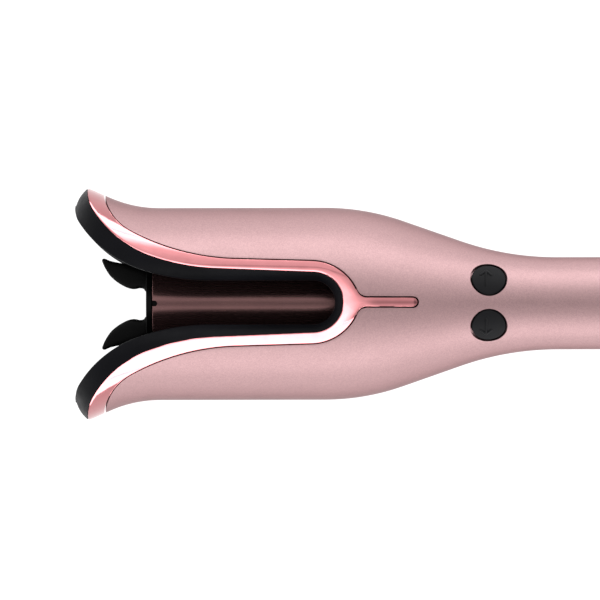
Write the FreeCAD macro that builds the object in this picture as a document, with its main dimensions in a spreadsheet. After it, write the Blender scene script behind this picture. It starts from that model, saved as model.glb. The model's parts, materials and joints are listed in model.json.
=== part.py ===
"""Automatic hair curler: a hand-held tool with a tulip-shaped head.

Two petals stand either side of an open slot. Inside them a heated barrel turns on the tool's axis, and two
hooks on its end cap catch a strand and wind it round the barrel. A motor and a planetary reduction in the
handle drive the barrel, and its heater is fed through slip rings.

Frame: millimetres, X along the tool's axis from the cord gland's mouth (X = 0) to the tips of the petals,
Z out of the face with the buttons, Y across the head from petal to petal.
"""

import FreeCAD, Part  # FreeCAD comes first, because Part needs it loaded
import math
import os
import re

import Sketcher

Vector = FreeCAD.Vector

# Driving dimensions: alias, value in millimetres (or degrees, or a count), meaning.
DIMENSIONS = [
    # Casing, along the tool's axis from the cord end
    ("overall_length", 300, "gland mouth to petal tips"),
    ("end_face_x", 10, "where the casing starts"),
    ("end_face_radius", 13.3, "casing at its end face"),
    ("end_hole_radius", 9.3, "hole in the end face"),
    ("grip_start_x", 24, "rounded end meets the grip"),
    ("grip_radius", 17.3, "grip"),
    ("grip_end_x", 118, "grip starts to widen"),
    ("neck_x", 154, "end of the concave neck"),
    ("neck_radius", 23.4, "casing there"),
    ("shoulder_x", 176, "start of the convex shoulder"),
    ("shoulder_radius", 31.1, "casing there"),
    ("head_start_x", 205, "head is cylindrical from here"),
    ("head_radius", 36, "head"),
    ("flare_start_x", 267, "petals start to flare"),
    ("flare_x", 285, "flare becomes straight"),
    ("flare_radius", 39.7, "casing there"),
    ("rim_x", 293.3, "petal rim"),
    ("rim_radius", 43.3, "petal rim"),
    ("tip_radius", 36.2, "petal tip, in front of the bevelled rim"),
    ("wall", 2.2, "casing wall"),
    ("seam_gap", 0.5, "shadow gap between casing and trim"),
    ("trim_proud", 0.15, "trim stands above the casing"),
    ("trim_depth", 3.2, "trim reaches this far below the casing surface"),
    ("lip_recess", 0.6, "lip lies below the trim"),
    # Slot outlines, as half widths either side of the axis
    ("mouth_bend_x", 209.6, "centre of the opening's round end"),
    ("mouth_half", 8.2, "clear opening between the lips"),
    ("mouth_line_x", 248, "opening starts to widen"),
    ("mouth_mid_x", 276, "opening, between its two arcs"),
    ("mouth_mid_half", 13.3, "half opening there"),
    ("mouth_end_x", 302, "opening, past the tips"),
    ("mouth_end_half", 41.5, "half opening there"),
    ("mouth_arc", 43, "outer arc of the opening"),
    # Outlines of lip and trim, as tangent arcs: radii, and headings in degrees off the axis where they end
    ("lip_nose_x", 198.35, "apex of the lip's round end"),
    ("lip_nose_arc", 11.4, "round end of the lip"),
    ("lip_line_heading", 2.3, "straight side of the lip"),
    ("lip_line_x", 246, "lip starts to widen"),
    ("lip_near_arc", 79, "first arc of the lip's flare"),
    ("lip_near_heading", 20.4, "where it ends"),
    ("lip_mid_arc", 41.4, "second arc"),
    ("lip_mid_heading", 59, "where it ends"),
    ("lip_far_arc", 16.3, "last arc"),
    ("lip_far_heading", 89, "where it ends"),
    ("trim_nose_x", 192.25, "apex of the trim's round end"),
    ("trim_nose_arc", 12.5, "round end of the trim, across the apex"),
    ("trim_nose_heading", 60, "where it ends"),
    ("trim_side_arc", 19, "round end of the trim, beside the apex"),
    ("trim_line_heading", 1.6, "straight side of the trim"),
    ("trim_line_x", 238.3, "trim starts to widen"),
    ("trim_near_arc", 87, "first arc of the trim's flare"),
    ("trim_near_heading", 28.4, "where it ends"),
    ("trim_far_arc", 19.6, "last arc"),
    ("trim_far_heading", 90, "where it ends"),
    ("beyond_x", 306, "cutting outlines end past the tips"),
    ("beyond_half", 54, "cutting outlines end outside the rim"),
    ("tail_end_x", 170.2, "end of the front trim's tail"),
    ("tail_half", 2.2, "half width of the tail"),
    ("tail_root_x", 189.5, "tail starts to widen into the trim"),
    ("tail_root_half", 5, "half width where it meets the trim"),
    # Chamber and its liner
    ("liner_start_x", 190, "back end of the liner"),
    ("chamber_radius", 24, "inside of the chamber"),
    ("chamber_flare_x", 262, "chamber starts to flare"),
    ("chamber_mouth_radius", 36, "chamber at the petal tips"),
    ("liner_wall", 2, "liner tube wall"),
    ("bulkhead_x", 193, "back of the bulkhead"),
    ("bulkhead_thickness", 3, "bulkhead"),
    # Barrel and heater
    ("barrel_radius", 12.7, "one inch barrel"),
    ("barrel_wall", 1.5, "barrel wall"),
    ("barrel_start_x", 186, "barrel base"),
    ("barrel_end_x", 269.6, "barrel end"),
    ("notch_half", 1.05, "half width of the key notch in the barrel's end"),
    ("notch_depth", 1.9, "length of the key notch"),
    ("cap_face_x", 271.9, "outer face of the end cap"),
    ("hook_thickness", 3.4, "hooks"),
    ("hook_root_half", 5.6, "inner edge of a hook at its root"),
    ("hook_bend_x", 277, "hook starts to curl outwards"),
    ("hook_tip_x", 288.3, "hook tip"),
    ("hook_tip_half", 15.9, "hook tip"),
    ("hook_arc", 15.5, "inner edge of a hook"),
    ("heater_start_x", 200, "heater blocks"),
    ("heater_length", 64, "heater blocks"),
    ("heater_gap", 4.4, "space for the heating element"),
    # Hub, bearings, slip rings
    ("hub_start_x", 148, "rear end of the hub"),
    ("drum_radius", 7, "slip ring drum"),
    ("journal_radius", 9, "hub journal"),
    ("journal_start_x", 170, "journal"),
    ("hub_flange_x", 183, "flange behind the barrel"),
    ("hub_bore", 2.4, "lead channel"),
    ("running_gap", 0.06, "radial clearance of shafts"),
    ("bush_wall", 2.44, "bush wall"),
    ("bush_start_x", 172, "front bush"),
    ("web_x", 178, "bearing carrier web"),
    ("carrier_radius", 28.2, "bearing carrier"),
    ("slip_ring_radius", 8.2, "slip rings"),
    ("slip_ring_width", 4, "slip rings"),
    ("slip_ring_rear_x", 152, "rear slip ring"),
    ("slip_ring_pitch", 9, "between the slip rings"),
    ("brush_side", 3, "carbon brush section"),
    ("brush_bottom", 14.5, "brush end, below the axis"),
    ("holder_bottom", 16.8, "brush holder"),
    # Motor and reduction
    ("motor_start_x", 86, "motor can"),
    ("motor_end_x", 112, "motor can"),
    ("motor_radius", 10, "motor can"),
    ("motor_shaft_radius", 1, "motor shaft"),
    ("gear_module", 0.5, "tooth size"),
    ("sun_teeth", 12, "sun gear"),
    ("planet_teeth", 15, "planet gears"),
    ("ring_teeth", 42, "ring gear"),
    ("gear_start_x", 117, "sun and planets"),
    ("gear_width", 10, "sun and planets"),
    ("gearbox_radius", 12.3, "gearbox"),
    ("gearbox_end_x", 133, "end of the ring gear housing"),
    ("tooth_thinning", 0.05, "backlash allowance on each tooth"),
    ("output_radius", 3, "output shaft"),
    ("output_end_x", 158, "output shaft, inside the hub"),
    # Boards and controls
    ("board_start_x", 24, "boards"),
    ("board_end_x", 80, "boards"),
    ("board_thickness", 1.6, "boards"),
    ("power_board_z", -4.6, "underside of the power board"),
    ("panel_board_z", 7.4, "underside of the panel board"),
    ("switch_side", 6, "tact switches"),
    ("window_start_x", 61, "display window"),
    ("window_length", 18, "display window"),
    ("window_half", 6, "display window"),
    ("fit_gap", 0.15, "clearance round windows and buttons"),
    ("power_x", 50, "power button"),
    ("plus_x", 39, "plus button"),
    ("minus_x", 29, "minus button"),
    ("power_button_radius", 4.4, "power button"),
    ("step_button_radius", 3.5, "plus and minus buttons"),
    ("arrow_x", 144, "direction buttons"),
    ("arrow_button_radius", 6.5, "direction buttons"),
    ("arrow_tilt", 25.8, "direction buttons, degrees either side of the front"),
    ("press_travel", 0.5, "buttons"),
    # Cord gland and fasteners
    ("gland_radius", 7, "gland neck"),
    ("gland_bore", 3.4, "hole for the cord"),
    ("gland_length", 17, "gland"),
    ("end_cap_x", 6, "end cap"),
    ("grip_screw_x", 83.2, "screws in the grip"),
    ("grip_screw_y", 11.8, "screws in the grip"),
    ("head_screw_x", 168, "screws in the shoulder"),
    ("head_screw_y", 19, "screws in the shoulder"),
    ("screw_shank", 1.2, "screw shank radius"),
    # Two feet behind the rear slot, so that the round casing doesn't roll
    ("foot_x", 188, "feet"),
    ("foot_tilt", 18, "feet, degrees either side of the rear"),
    ("foot_radius", 2.5, "feet"),
    ("foot_seat", 33.3, "floor of their pockets, from the axis"),
    ("foot_top", 36.6, "feet, from the axis"),
]

PRESSURE_ANGLE = math.radians(25)
ADDENDUM = 0.8  # tooth height above the pitch circle, in modules
DEDENDUM = 1.05  # tooth depth below the pitch circle, in modules

doc = FreeCAD.newDocument("hair_curler")
sheet = doc.addObject("Spreadsheet::Sheet", "Sheet")
nodes = {}


# ---------------------------------------------------------------- sheet and formulas


def fill_sheet():
    for row, (alias, value, meaning) in enumerate(DIMENSIONS, start=1):
        sheet.set(f"A{row}", alias)
        sheet.set(f"B{row}", str(value))
        sheet.setAlias(f"B{row}", alias)
        sheet.set(f"C{row}", meaning)
    doc.recompute()


ALIASES = {alias for alias, _, _ in DIMENSIONS}


def formula(text):
    """An expression on the sheet's cells, from one written with the bare aliases."""
    return re.sub(r"[a-z_]+", lambda m: "Sheet." + m[0] if m[0] in ALIASES else m[0], str(text))


def size(text):
    return float(sheet.evalExpression(formula(text)))


def bind(thing, **properties):
    """Binds properties to formulas; a double underscore stands for a dot."""
    for name, text in properties.items():
        thing.setExpression(name.replace("__", "."), formula(text))
    return thing


def tangent_arc(run, rise):
    """Radius of an arc that starts level and climbs by rise over run."""
    return f"(({run})^2 + ({rise})^2) / (2 * ({rise}))"


# ---------------------------------------------------------------- sketches


def draw(sketch, steps):
    """Closed outline. A step (x, y) is a straight edge to that point; (x, y, turn, radius) is an arc,
    where turn is +1 to bend left and -1 to bend right. The first step is the starting point."""
    points = [Vector(size(s[0]), size(s[1]), 0) for s in steps]
    edges = []
    for i, start in enumerate(points):
        step = steps[(i + 1) % len(steps)]
        end = points[(i + 1) % len(points)]
        if len(step) == 2:
            edges.append((sketch.addGeometry(Part.LineSegment(start, end), False), 1, 2))
            continue
        turn, radius = step[2], size(step[3])
        chord = end - start
        left = Vector(-chord.y, chord.x, 0).normalize()
        height = math.sqrt(max(0.0, radius**2 - chord.Length**2 / 4))
        centre = (start + end) * 0.5 + left * (turn * height)
        first, last = (start, end) if turn > 0 else (end, start)
        angles = [math.atan2(p.y - centre.y, p.x - centre.x) for p in (first, last)]
        circle = Part.Circle(centre, Vector(0, 0, 1), radius)
        geometry = sketch.addGeometry(Part.ArcOfCircle(circle, *angles), False)
        edges.append((geometry, 1, 2) if turn > 0 else (geometry, 2, 1))
    for i, (geometry, _, end) in enumerate(edges):
        after = edges[(i + 1) % len(edges)]
        sketch.addConstraint(Sketcher.Constraint("Coincident", geometry, end, after[0], after[1]))
    for i, (geometry, start, _) in enumerate(edges):
        pairs = (("DistanceX", steps[i][0], points[i].x), ("DistanceY", steps[i][1], points[i].y))
        for kind, text, value in pairs:
            number = sketch.addConstraint(Sketcher.Constraint(kind, geometry, start, value))
            sketch.setExpression(f"Constraints[{number}]", formula(text))
        step = steps[(i + 1) % len(steps)]
        if len(step) == 4 and points[i].distanceToPoint(points[(i + 1) % len(points)]) < 1.9999 * size(step[3]):
            number = sketch.addConstraint(Sketcher.Constraint("Radius", geometry, size(step[3])))
            sketch.setExpression(f"Constraints[{number}]", formula(step[3]))
        elif len(step) == 4:  # half a circle: its centre lies between its ends
            ends = (geometry, 1, geometry, 2, geometry, 3)
            sketch.addConstraint(Sketcher.Constraint("Symmetric", *ends))


def body_sketch(body, role, steps, height="0"):
    """A sketch on one of the body's own origin planes, lifted by height."""
    sketch = body.newObject("Sketcher::SketchObject", "outline")
    plane = next(f for f in body.Origin.OriginFeatures if f.Role == role)
    sketch.AttachmentSupport = [(plane, "")]
    sketch.MapMode = "FlatFace"
    bind(sketch, AttachmentOffset__Base__z=height)
    draw(sketch, steps)
    return sketch


def rectangle(x_low, x_high, y_low, y_high):
    return [(x_low, y_low), (x_high, y_low), (x_high, y_high), (x_low, y_high)]


# ---------------------------------------------------------------- bodies and primitives


def keep(label, thing):
    """Registers a finished sub-part under its own name."""
    thing.Label = label
    nodes[label] = thing
    return thing


def turned(label, steps):
    """A PartDesign body turned about the tool's axis. Steps are (x, radius, ...)."""
    body = doc.addObject("PartDesign::Body", label)
    sketch = body_sketch(body, "XZ_Plane", steps)
    revolution = body.newObject("PartDesign::Revolution", "turning")
    revolution.Profile = sketch
    revolution.ReferenceAxis = (sketch, ["H_Axis"])
    revolution.Angle = 360
    return keep(label, body)


def padded(label, role, steps, low, height, feature="pad"):
    """A PartDesign body made by padding an outline up from the offset low."""
    body = doc.addObject("PartDesign::Body", label)
    pad = body.newObject("PartDesign::Pad", feature)
    pad.Profile = body_sketch(body, role, steps, low)
    bind(pad, Length=height)
    return keep(label, body)


def box(name, x, y, z):
    """Part::Box from three (low, high) pairs."""
    made = doc.addObject("Part::Box", name)
    bind(made, Length=f"({x[1]}) - ({x[0]})", Width=f"({y[1]}) - ({y[0]})", Height=f"({z[1]}) - ({z[0]})")
    bind(made, Placement__Base__x=x[0], Placement__Base__y=y[0], Placement__Base__z=z[0])
    return made


def axial(name, radius, start, end, y="0", z="0"):
    """Part::Cylinder along the tool's axis."""
    made = doc.addObject("Part::Cylinder", name)
    made.Placement = FreeCAD.Placement(Vector(), FreeCAD.Rotation(Vector(0, 1, 0), 90))
    bind(made, Radius=radius, Height=f"({end}) - ({start})")
    bind(made, Placement__Base__x=start, Placement__Base__y=y, Placement__Base__z=z)
    return made


def radial(name, radius, low, high, x, tilt="0", y="0"):
    """Part::Cylinder across the tool's axis, between two heights, tilted about the axis from +Z."""
    made = doc.addObject("Part::Cylinder", name)
    made.Placement = FreeCAD.Placement(Vector(), FreeCAD.Rotation(Vector(1, 0, 0), 1))
    bind(made, Radius=radius, Height=f"({high}) - ({low})", Placement__Rotation__Angle=tilt)
    bind(made, Placement__Base__x=x, Placement__Base__y=f"({y}) - ({low}) * sin(({tilt}) * 1deg)")
    bind(made, Placement__Base__z=f"({low}) * cos(({tilt}) * 1deg)")
    return made


def radial_box(name, long, wide, low, high, x, tilt="0"):
    """Part::Box centred at x across the tool's axis, tilted about the axis from +Z."""
    made = doc.addObject("Part::Box", name)
    made.Placement = FreeCAD.Placement(Vector(), FreeCAD.Rotation(Vector(1, 0, 0), 1))
    bind(made, Length=long, Width=wide, Height=f"({high}) - ({low})", Placement__Rotation__Angle=tilt)
    lean, half = f"({tilt}) * 1deg", f"({wide}) / 2"
    bind(made, Placement__Base__x=f"({x}) - ({long}) / 2")
    bind(made, Placement__Base__y=f"-({low}) * sin({lean}) - {half} * cos({lean})")
    bind(made, Placement__Base__z=f"({low}) * cos({lean}) - {half} * sin({lean})")
    return made


def cut(name, base, tool):
    made = doc.addObject("Part::Cut", name)
    made.Base, made.Tool = base, tool
    return made


def common(name, *shapes):
    made = doc.addObject("Part::MultiCommon", name)
    made.Shapes = list(shapes)
    return made


def fuse(name, *shapes):
    made = doc.addObject("Part::MultiFuse", name)
    made.Shapes = list(shapes)
    return made


def group(label, *solids):
    """Separate solids that share one node."""
    made = doc.addObject("Part::Compound", label)
    made.Links = list(solids)
    return keep(label, made)


def free_sketch(name, steps, upright=False):
    """A sketch of its own, in the XY plane or upright in the XZ plane."""
    sketch = doc.addObject("Sketcher::SketchObject", name + "_outline")
    if upright:
        sketch.Placement = FreeCAD.Placement(Vector(), FreeCAD.Rotation(Vector(1, 0, 0), 90))
    draw(sketch, steps)
    return sketch


def revolved_form(name, steps):
    made = doc.addObject("Part::Revolution", name)
    made.Source = free_sketch(name, steps, upright=True)
    made.Axis, made.Base, made.Angle, made.Solid = (1, 0, 0), (0, 0, 0), 360, True
    return made


def extruded_form(name, source, half_height="60"):
    made = doc.addObject("Part::Extrusion", name)
    made.Base, made.DirMode, made.Dir, made.Solid = source, "Custom", (0, 0, 1), True
    made.Symmetric = True
    bind(made, LengthFwd=f"2 * ({half_height})")
    return made


# ---------------------------------------------------------------- outlines of the head


def casing_steps(inset="0"):
    """The casing's profile from its end face to the petal tips, all of it inset by the same amount."""
    end_run, end_rise = "(grip_start_x - end_face_x)", "(grip_radius - end_face_radius)"
    neck = tangent_arc("(neck_x - grip_end_x)", "(neck_radius - grip_radius)")
    shoulder = tangent_arc("(head_start_x - shoulder_x)", "(head_radius - shoulder_radius)")
    flare = tangent_arc("(flare_x - flare_start_x)", "(flare_radius - head_radius)")
    return [
        (f"end_face_x + {inset}", "0"),
        (f"end_face_x + {inset}", f"end_face_radius - {inset}"),
        ("grip_start_x", f"grip_radius - {inset}", -1, tangent_arc(end_run, end_rise)),
        ("grip_end_x", f"grip_radius - {inset}"),
        ("neck_x", f"neck_radius - {inset}", 1, neck),
        ("shoulder_x", f"shoulder_radius - {inset}"),
        ("head_start_x", f"head_radius - {inset}", -1, shoulder),
        ("flare_start_x", f"head_radius - {inset}"),
        ("flare_x", f"flare_radius - {inset}", 1, flare),
        ("rim_x", f"rim_radius - {inset}"),
        ("overall_length", "tip_radius"),
        ("overall_length", "0"),
    ]


def chamber_steps(inset="0", start="liner_start_x - 1"):
    """The chamber's wall, straight and then flared towards the petal tips, moved outwards by inset."""
    flare = tangent_arc("(overall_length - chamber_flare_x)", "(chamber_mouth_radius - chamber_radius)")
    return [
        (start, "0"),
        (start, f"chamber_radius + {inset}"),
        ("chamber_flare_x", f"chamber_radius + {inset}"),
        ("overall_length", f"chamber_mouth_radius + {inset}", 1, flare),
        ("overall_length + 2", f"chamber_mouth_radius + {inset} + 2"),
        ("overall_length + 2", "0"),
    ]


def mirrored(upper):
    """Closes an outline of upper-side steps with their mirror image, back to the first step's mirror."""
    lower = []
    for i in range(len(upper) - 1, 0, -1):
        x, y = upper[i - 1][0], f"-({upper[i - 1][1]})"
        lower.append((x, y, *upper[i][2:]))
    return upper + [(upper[-1][0], f"-({upper[-1][1]})")] + lower


def tangent_side(nose_x, *moves):
    """Upper side of a slot outline, from the end of its apex's arc. A move is an arc (turn, radius, heading at
    its end), where turn is +1 to bend left and -1 to bend right, or a straight run (x at its end)."""
    x, y, heading = nose_x, "0", "90deg"
    steps = []
    for move in moves:
        if len(move) == 1:
            x, y = move[0], f"{y} + ({move[0]} - ({x})) * tan({heading})"
            steps.append((x, y))
            continue
        turn, radius, last = move[0], move[1], f"{move[2]} * 1deg"
        x = f"{x} + {turn} * {radius} * (sin({last}) - sin({heading}))"
        y = f"{y} + {turn} * {radius} * (cos({heading}) - cos({last}))"
        heading = last
        steps.append((x, y, turn, radius))
    return steps


def mouth_outline():
    """The clear opening between the lips."""
    near = tangent_arc("(mouth_mid_x - mouth_line_x)", "(mouth_mid_half - mouth_half)")
    upper = [
        ("mouth_bend_x", "mouth_half"),
        ("mouth_line_x", "mouth_half"),
        ("mouth_mid_x", "mouth_mid_half", 1, near),
        ("mouth_end_x", "mouth_end_half", 1, "mouth_arc"),
    ]
    steps = mirrored(upper)
    steps[0] = (*steps[0], -1, "mouth_half")  # the round slot end closes the outline
    return steps


def lip_outline():
    """The line where lip and trim meet."""
    upper = tangent_side(
        "lip_nose_x",
        (-1, "lip_nose_arc", "lip_line_heading"),
        ("lip_line_x",),
        (1, "lip_near_arc", "lip_near_heading"),
        (1, "lip_mid_arc", "lip_mid_heading"),
        (1, "lip_far_arc", "lip_far_heading"),
    )
    return mirrored(upper + [("beyond_x", "beyond_half")])


def trim_outline(with_tail):
    """The line where trim and casing meet. The front trim ends in a narrow tail towards the buttons."""
    upper = tangent_side(
        "trim_nose_x",
        (-1, "trim_nose_arc", "trim_nose_heading"),
        (-1, "trim_side_arc", "trim_line_heading"),
        ("trim_line_x",),
        (1, "trim_near_arc", "trim_near_heading"),
        (1, "trim_far_arc", "trim_far_heading"),
    )
    steps = mirrored(upper + [("beyond_x", "beyond_half")])
    if not with_tail:
        return steps
    root_x = "trim_nose_x + trim_nose_arc - sqrt(trim_nose_arc^2 - tail_root_half^2)"
    fillet = tangent_arc(f"({root_x} - tail_root_x)", "(tail_root_half - tail_half)")
    steps += [
        (root_x, "-tail_root_half", -1, "trim_nose_arc"),
        ("tail_root_x", "-tail_half", 1, fillet),
        ("tail_end_x + tail_half", "-tail_half"),
        ("tail_end_x + tail_half", "tail_half", -1, "tail_half"),
        ("tail_root_x", "tail_half"),
        (root_x, "tail_root_half", 1, fillet),
    ]
    return steps


# ---------------------------------------------------------------- casing, trims, liners


def head_forms():
    """The shapes that casing, trims and liners are cut from."""
    far = "overall_length + 10"
    forms = {
        "outside": revolved_form("casing_outside", casing_steps()),
        "inside": revolved_form("casing_inside", casing_steps("wall")),
        "trim_top": revolved_form("trim_top", casing_steps("-trim_proud")),
        "trim_under": revolved_form("trim_underside", casing_steps("trim_depth")),
        "lip_top": revolved_form("lip_top", casing_steps("lip_recess")),
        "chamber": revolved_form("chamber_space", chamber_steps()),
        "liner": revolved_form("liner_outside", chamber_steps("liner_wall", "liner_start_x")),
        "mouth": extruded_form("mouth_cut", free_sketch("mouth", mouth_outline())),
        "lip": extruded_form("lip_cut", free_sketch("lip", lip_outline())),
        "front_half": box("front_half", ("-1", far), ("-60", "60"), ("0", "60")),
        "rear_half": box("rear_half", ("-1", far), ("-60", "60"), ("-60", "0")),
    }
    for side, with_tail in (("front", True), ("rear", False)):
        outline = free_sketch(side + "_trim", trim_outline(with_tail))
        inner = doc.addObject("Part::Offset2D", side + "_trim_inset")
        inner.Source, inner.Join = outline, "Arc"
        inner.Value = -size("seam_gap")
        bind(inner, Value="-seam_gap")
        forms[side + "_trim"] = extruded_form(side + "_casing_cut", outline)
        forms[side + "_trim_inset"] = extruded_form(side + "_trim_body", inner)
    return forms


def screw_places():
    """(name, x, y, boss radius, seat depth below the parting plane, shank end above it)."""
    for sign, side in (("", "left"), ("-", "right")):
        yield "grip_" + side, "grip_screw_x", sign + "grip_screw_y", "2.3", "5", "7"
        yield "head_" + side, "head_screw_x", sign + "head_screw_y", "3", "8", "8"


def bosses(forms, side):
    """Screw bosses that run from the casing's inner surface to the parting plane."""
    half = forms[side + "_half"]
    for name, x, y, radius, _, _ in screw_places():
        post = radial(f"{side}_{name}_post", radius, "-40", "40", x, y=y)
        yield common(f"{side}_{name}_boss", post, forms["inside"], half)
    for name, x, y, low, high in board_posts(side):
        for sign in ("", "-"):
            post = radial(f"{name}{sign}_post", "1.6", low, high, x, y=sign + y)
            yield common(f"{name}{sign}_foot", post, forms["inside"], half)


def board_posts(side):
    """(name, x, y, low, high) of the posts that the boards rest on, each with its mirror image."""
    if side == "front":
        for name, x in (("panel_near", "34"), ("panel_far", "56")):
            yield name, x, "8.6", "panel_board_z + 1.2", "40"
    else:
        for name, x in (("power_near", "28"), ("power_far", "68")):
            yield name, x, "11", "-40", "power_board_z"


def front_openings(forms):
    """Holes in the front casing: pilot holes, display window and buttons."""
    for name, x, y, _, _, top in screw_places():
        yield radial(name + "_pilot", "screw_shank", "-1", f"{top} + 0.5", x, y=y)
    window = ("window_start_x", "window_start_x + window_length")
    yield box("window_hole", window, ("-window_half", "window_half"), ("10", "30"))
    for name, x, radius, tilt in buttons():
        yield radial(name + "_hole", f"{radius} + fit_gap", "10", "30", x, tilt)


def foot_places():
    """(side, tilt) of the feet."""
    yield "left", "180 - foot_tilt"
    yield "right", "180 + foot_tilt"


def rear_openings():
    """Holes in the rear casing: clearance holes and counterbores for the screws, and pockets for the feet."""
    for side, tilt in foot_places():
        yield radial(side + "_foot_pocket", "foot_radius", "foot_seat", "foot_top + 2", "foot_x", tilt)
    for name, x, y, _, seat, _ in screw_places():
        yield radial(name + "_clearance", "screw_shank + 0.2", "-40", "1", x, y=y)
        reach = f"(-{seat} + 40)"
        yield radial(name + "_counterbore", "screw_shank + 0.9", "-40", f"-40 + {reach}", x, y=y)


def make_casing(forms):
    skin = cut("casing_skin", forms["outside"], forms["inside"])
    end_hole = axial("end_hole", "end_hole_radius", "0", "end_face_x + wall + 1")
    for side in ("front", "rear"):
        slotted = cut(side + "_slotted", skin, forms[side + "_trim"])
        half = common(side + "_skin", slotted, forms[side + "_half"])
        whole = fuse(side + "_with_bosses", half, *bosses(forms, side))
        holes = front_openings(forms) if side == "front" else rear_openings()
        tools = fuse(side + "_holes", end_hole, *holes)
        keep(side + "_shell", cut(side + "_casing", whole, tools))


def make_trims(forms):
    band = cut("trim_band", forms["trim_top"], forms["trim_under"])
    for side in ("front", "rear"):
        ring = cut(side + "_trim_ring", forms[side + "_trim_inset"], forms["lip"])
        keep(side + "_trim", common(side + "_trim_part", ring, band, forms[side + "_half"]))


def make_liners(forms):
    outer = fuse("liner_and_lip", forms["liner"], forms["lip"])
    trimmed = common("liner_in_casing", outer, forms["lip_top"])
    hollow = cut("liner_hollow", trimmed, forms["chamber"])
    for side in ("front", "rear"):
        open_liner = cut(side + "_liner_open", hollow, forms["mouth"])
        keep(side + "_liner", common(side + "_liner_part", open_liner, forms[side + "_half"]))


# ---------------------------------------------------------------- chamber base and bearings


def make_frame(forms):
    turned("chamber_bulkhead", [
        ("bulkhead_x", "barrel_radius + 0.4"),
        ("bulkhead_x + bulkhead_thickness", "barrel_radius + 0.4"),
        ("bulkhead_x + bulkhead_thickness", "chamber_radius"),
        ("bulkhead_x", "chamber_radius"),
    ])
    seat = "journal_radius + running_gap + bush_wall"
    rim = "chamber_radius + liner_wall"
    carrier = revolved_form("carrier_form", [
        ("bush_start_x", seat),
        ("web_x + 4", seat),
        ("web_x + 4", rim),
        ("bulkhead_x + bulkhead_thickness", rim),
        ("bulkhead_x + bulkhead_thickness", "carrier_radius"),
        ("web_x + 4", "carrier_radius"),
        ("web_x + 4", "head_radius"),
        ("web_x", "head_radius"),
        ("web_x", f"{seat} + 2"),
        ("bush_start_x", f"{seat} + 2"),
    ])
    seated = common("carrier_in_casing", carrier, forms["inside"])
    keep("bearing_carrier", cut("carrier_part", seated, nodes["front_trim"]))
    turned("front_bush", rectangle("bush_start_x", "web_x + 4", "journal_radius + running_gap", seat))
    make_chassis()


def make_chassis():
    """Rails from the gearbox to the bearing, and a roof-shaped bridge under the direction buttons."""
    rail = ("motor_end_x + 4", "bush_start_x")
    near, far = "gearbox_radius", "gearbox_radius + 1.8"
    sides = {"left_rail": (near, far), "right_rail": (f"-({far})", f"-{near}")}
    rails = [box(name, rail, across, ("-4", "4")) for name, across in sides.items()]
    bridge = box("bridge_block", ("arrow_x - 5", "arrow_x + 3"), (f"-({far})", far), ("2", "9"))
    above = [radial_box(f"bridge_slope_{i}", "20", "60", "8", "40", "arrow_x", tilt)
             for i, tilt in enumerate(("arrow_tilt", "-arrow_tilt"))]
    passage = axial("shaft_passage", "output_radius + 1", "arrow_x - 10", "arrow_x + 10")
    roof = cut("bridge_roof", bridge, fuse("bridge_cuts", passage, *above))
    keep("chassis", fuse("chassis_part", roof, *rails))


def make_brush_gear():
    middle = "slip_ring_rear_x + slip_ring_width / 2"
    stations = [middle, f"{middle} + slip_ring_pitch"]
    block = box("holder_block", ("hub_start_x + 2", "web_x"), ("-5", "5"), ("-holder_bottom", "-9.3"))
    pockets, brushes, springs = [], [], []
    contact = axial("brush_contact", "slip_ring_radius + running_gap", "hub_start_x", "web_x")
    for i, station in enumerate(stations):
        for half, tools, bottom in (("brush_side / 2 + 0.05", pockets, "-holder_bottom + 0.5"),
                                    ("brush_side / 2", brushes, "-brush_bottom")):
            x = (f"{station} - ({half})", f"{station} + ({half})")
            tools.append(box(f"brush_{i}", x, (f"-({half})", half), (bottom, "-7")))
        springs.append(helix_spring(f"brush_spring_{i}", station))
    # The bearing carrier's boss comes down to the block, so the block is relieved round it.
    relief_radius = "journal_radius + running_gap + bush_wall + 2.1"
    relief = axial("holder_relief", relief_radius, "bush_start_x - 0.2", "web_x")
    keep("brush_holder", cut("brush_holder_part", block, fuse("brush_pockets", relief, *pockets)))
    group("carbon_brushes", *[cut(f"brush_part_{i}", b, contact) for i, b in enumerate(brushes)])
    group("brush_springs", *springs)
    leads = [axial(f"brush_lead_{i}", "0.6", "board_end_x - 2", "hub_start_x + 2", y, "-13.7")
             for i, y in enumerate(("-2", "2"))]
    group("brush_leads", *leads)


def helix_spring(name, station):
    """A compression spring behind a brush, too fine a sweep for a primitive."""
    coil, wire, turns = 1.0, 0.15, 4
    low = -size("holder_bottom") + 0.5 + wire
    height = -size("brush_bottom") - low - wire
    helix = Part.makeHelix(height / turns, height, coil)
    section = Part.Wire(Part.makeCircle(wire, Vector(coil, 0, 0), Vector(0, 1, 0)))
    shape = Part.Wire(helix.Edges).makePipeShell([section], True, True)
    made = doc.addObject("Part::Feature", name)
    made.Shape = shape
    made.Placement = FreeCAD.Placement(Vector(size(station), 0, low), FreeCAD.Rotation())
    return made


# ---------------------------------------------------------------- turning barrel


def hook_steps():
    """One hook, seen from the front: a horn that curls away from the axis."""
    return [
        ("cap_face_x - 1", "hook_root_half - 0.4"),
        ("cap_face_x + 0.6", "hook_root_half - 0.1"),
        ("hook_bend_x - 2.4", "hook_root_half + 0.3"),
        ("hook_bend_x", "hook_root_half"),
        ("hook_tip_x", "hook_tip_half", 1, "hook_arc"),
        ("hook_tip_x - 0.9", "hook_tip_half + 1.2", 1, "0.8"),
        ("hook_tip_x - 5.5", "hook_tip_half - 0.2"),
        ("cap_face_x - 1", "barrel_radius - 0.3"),
    ]


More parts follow.
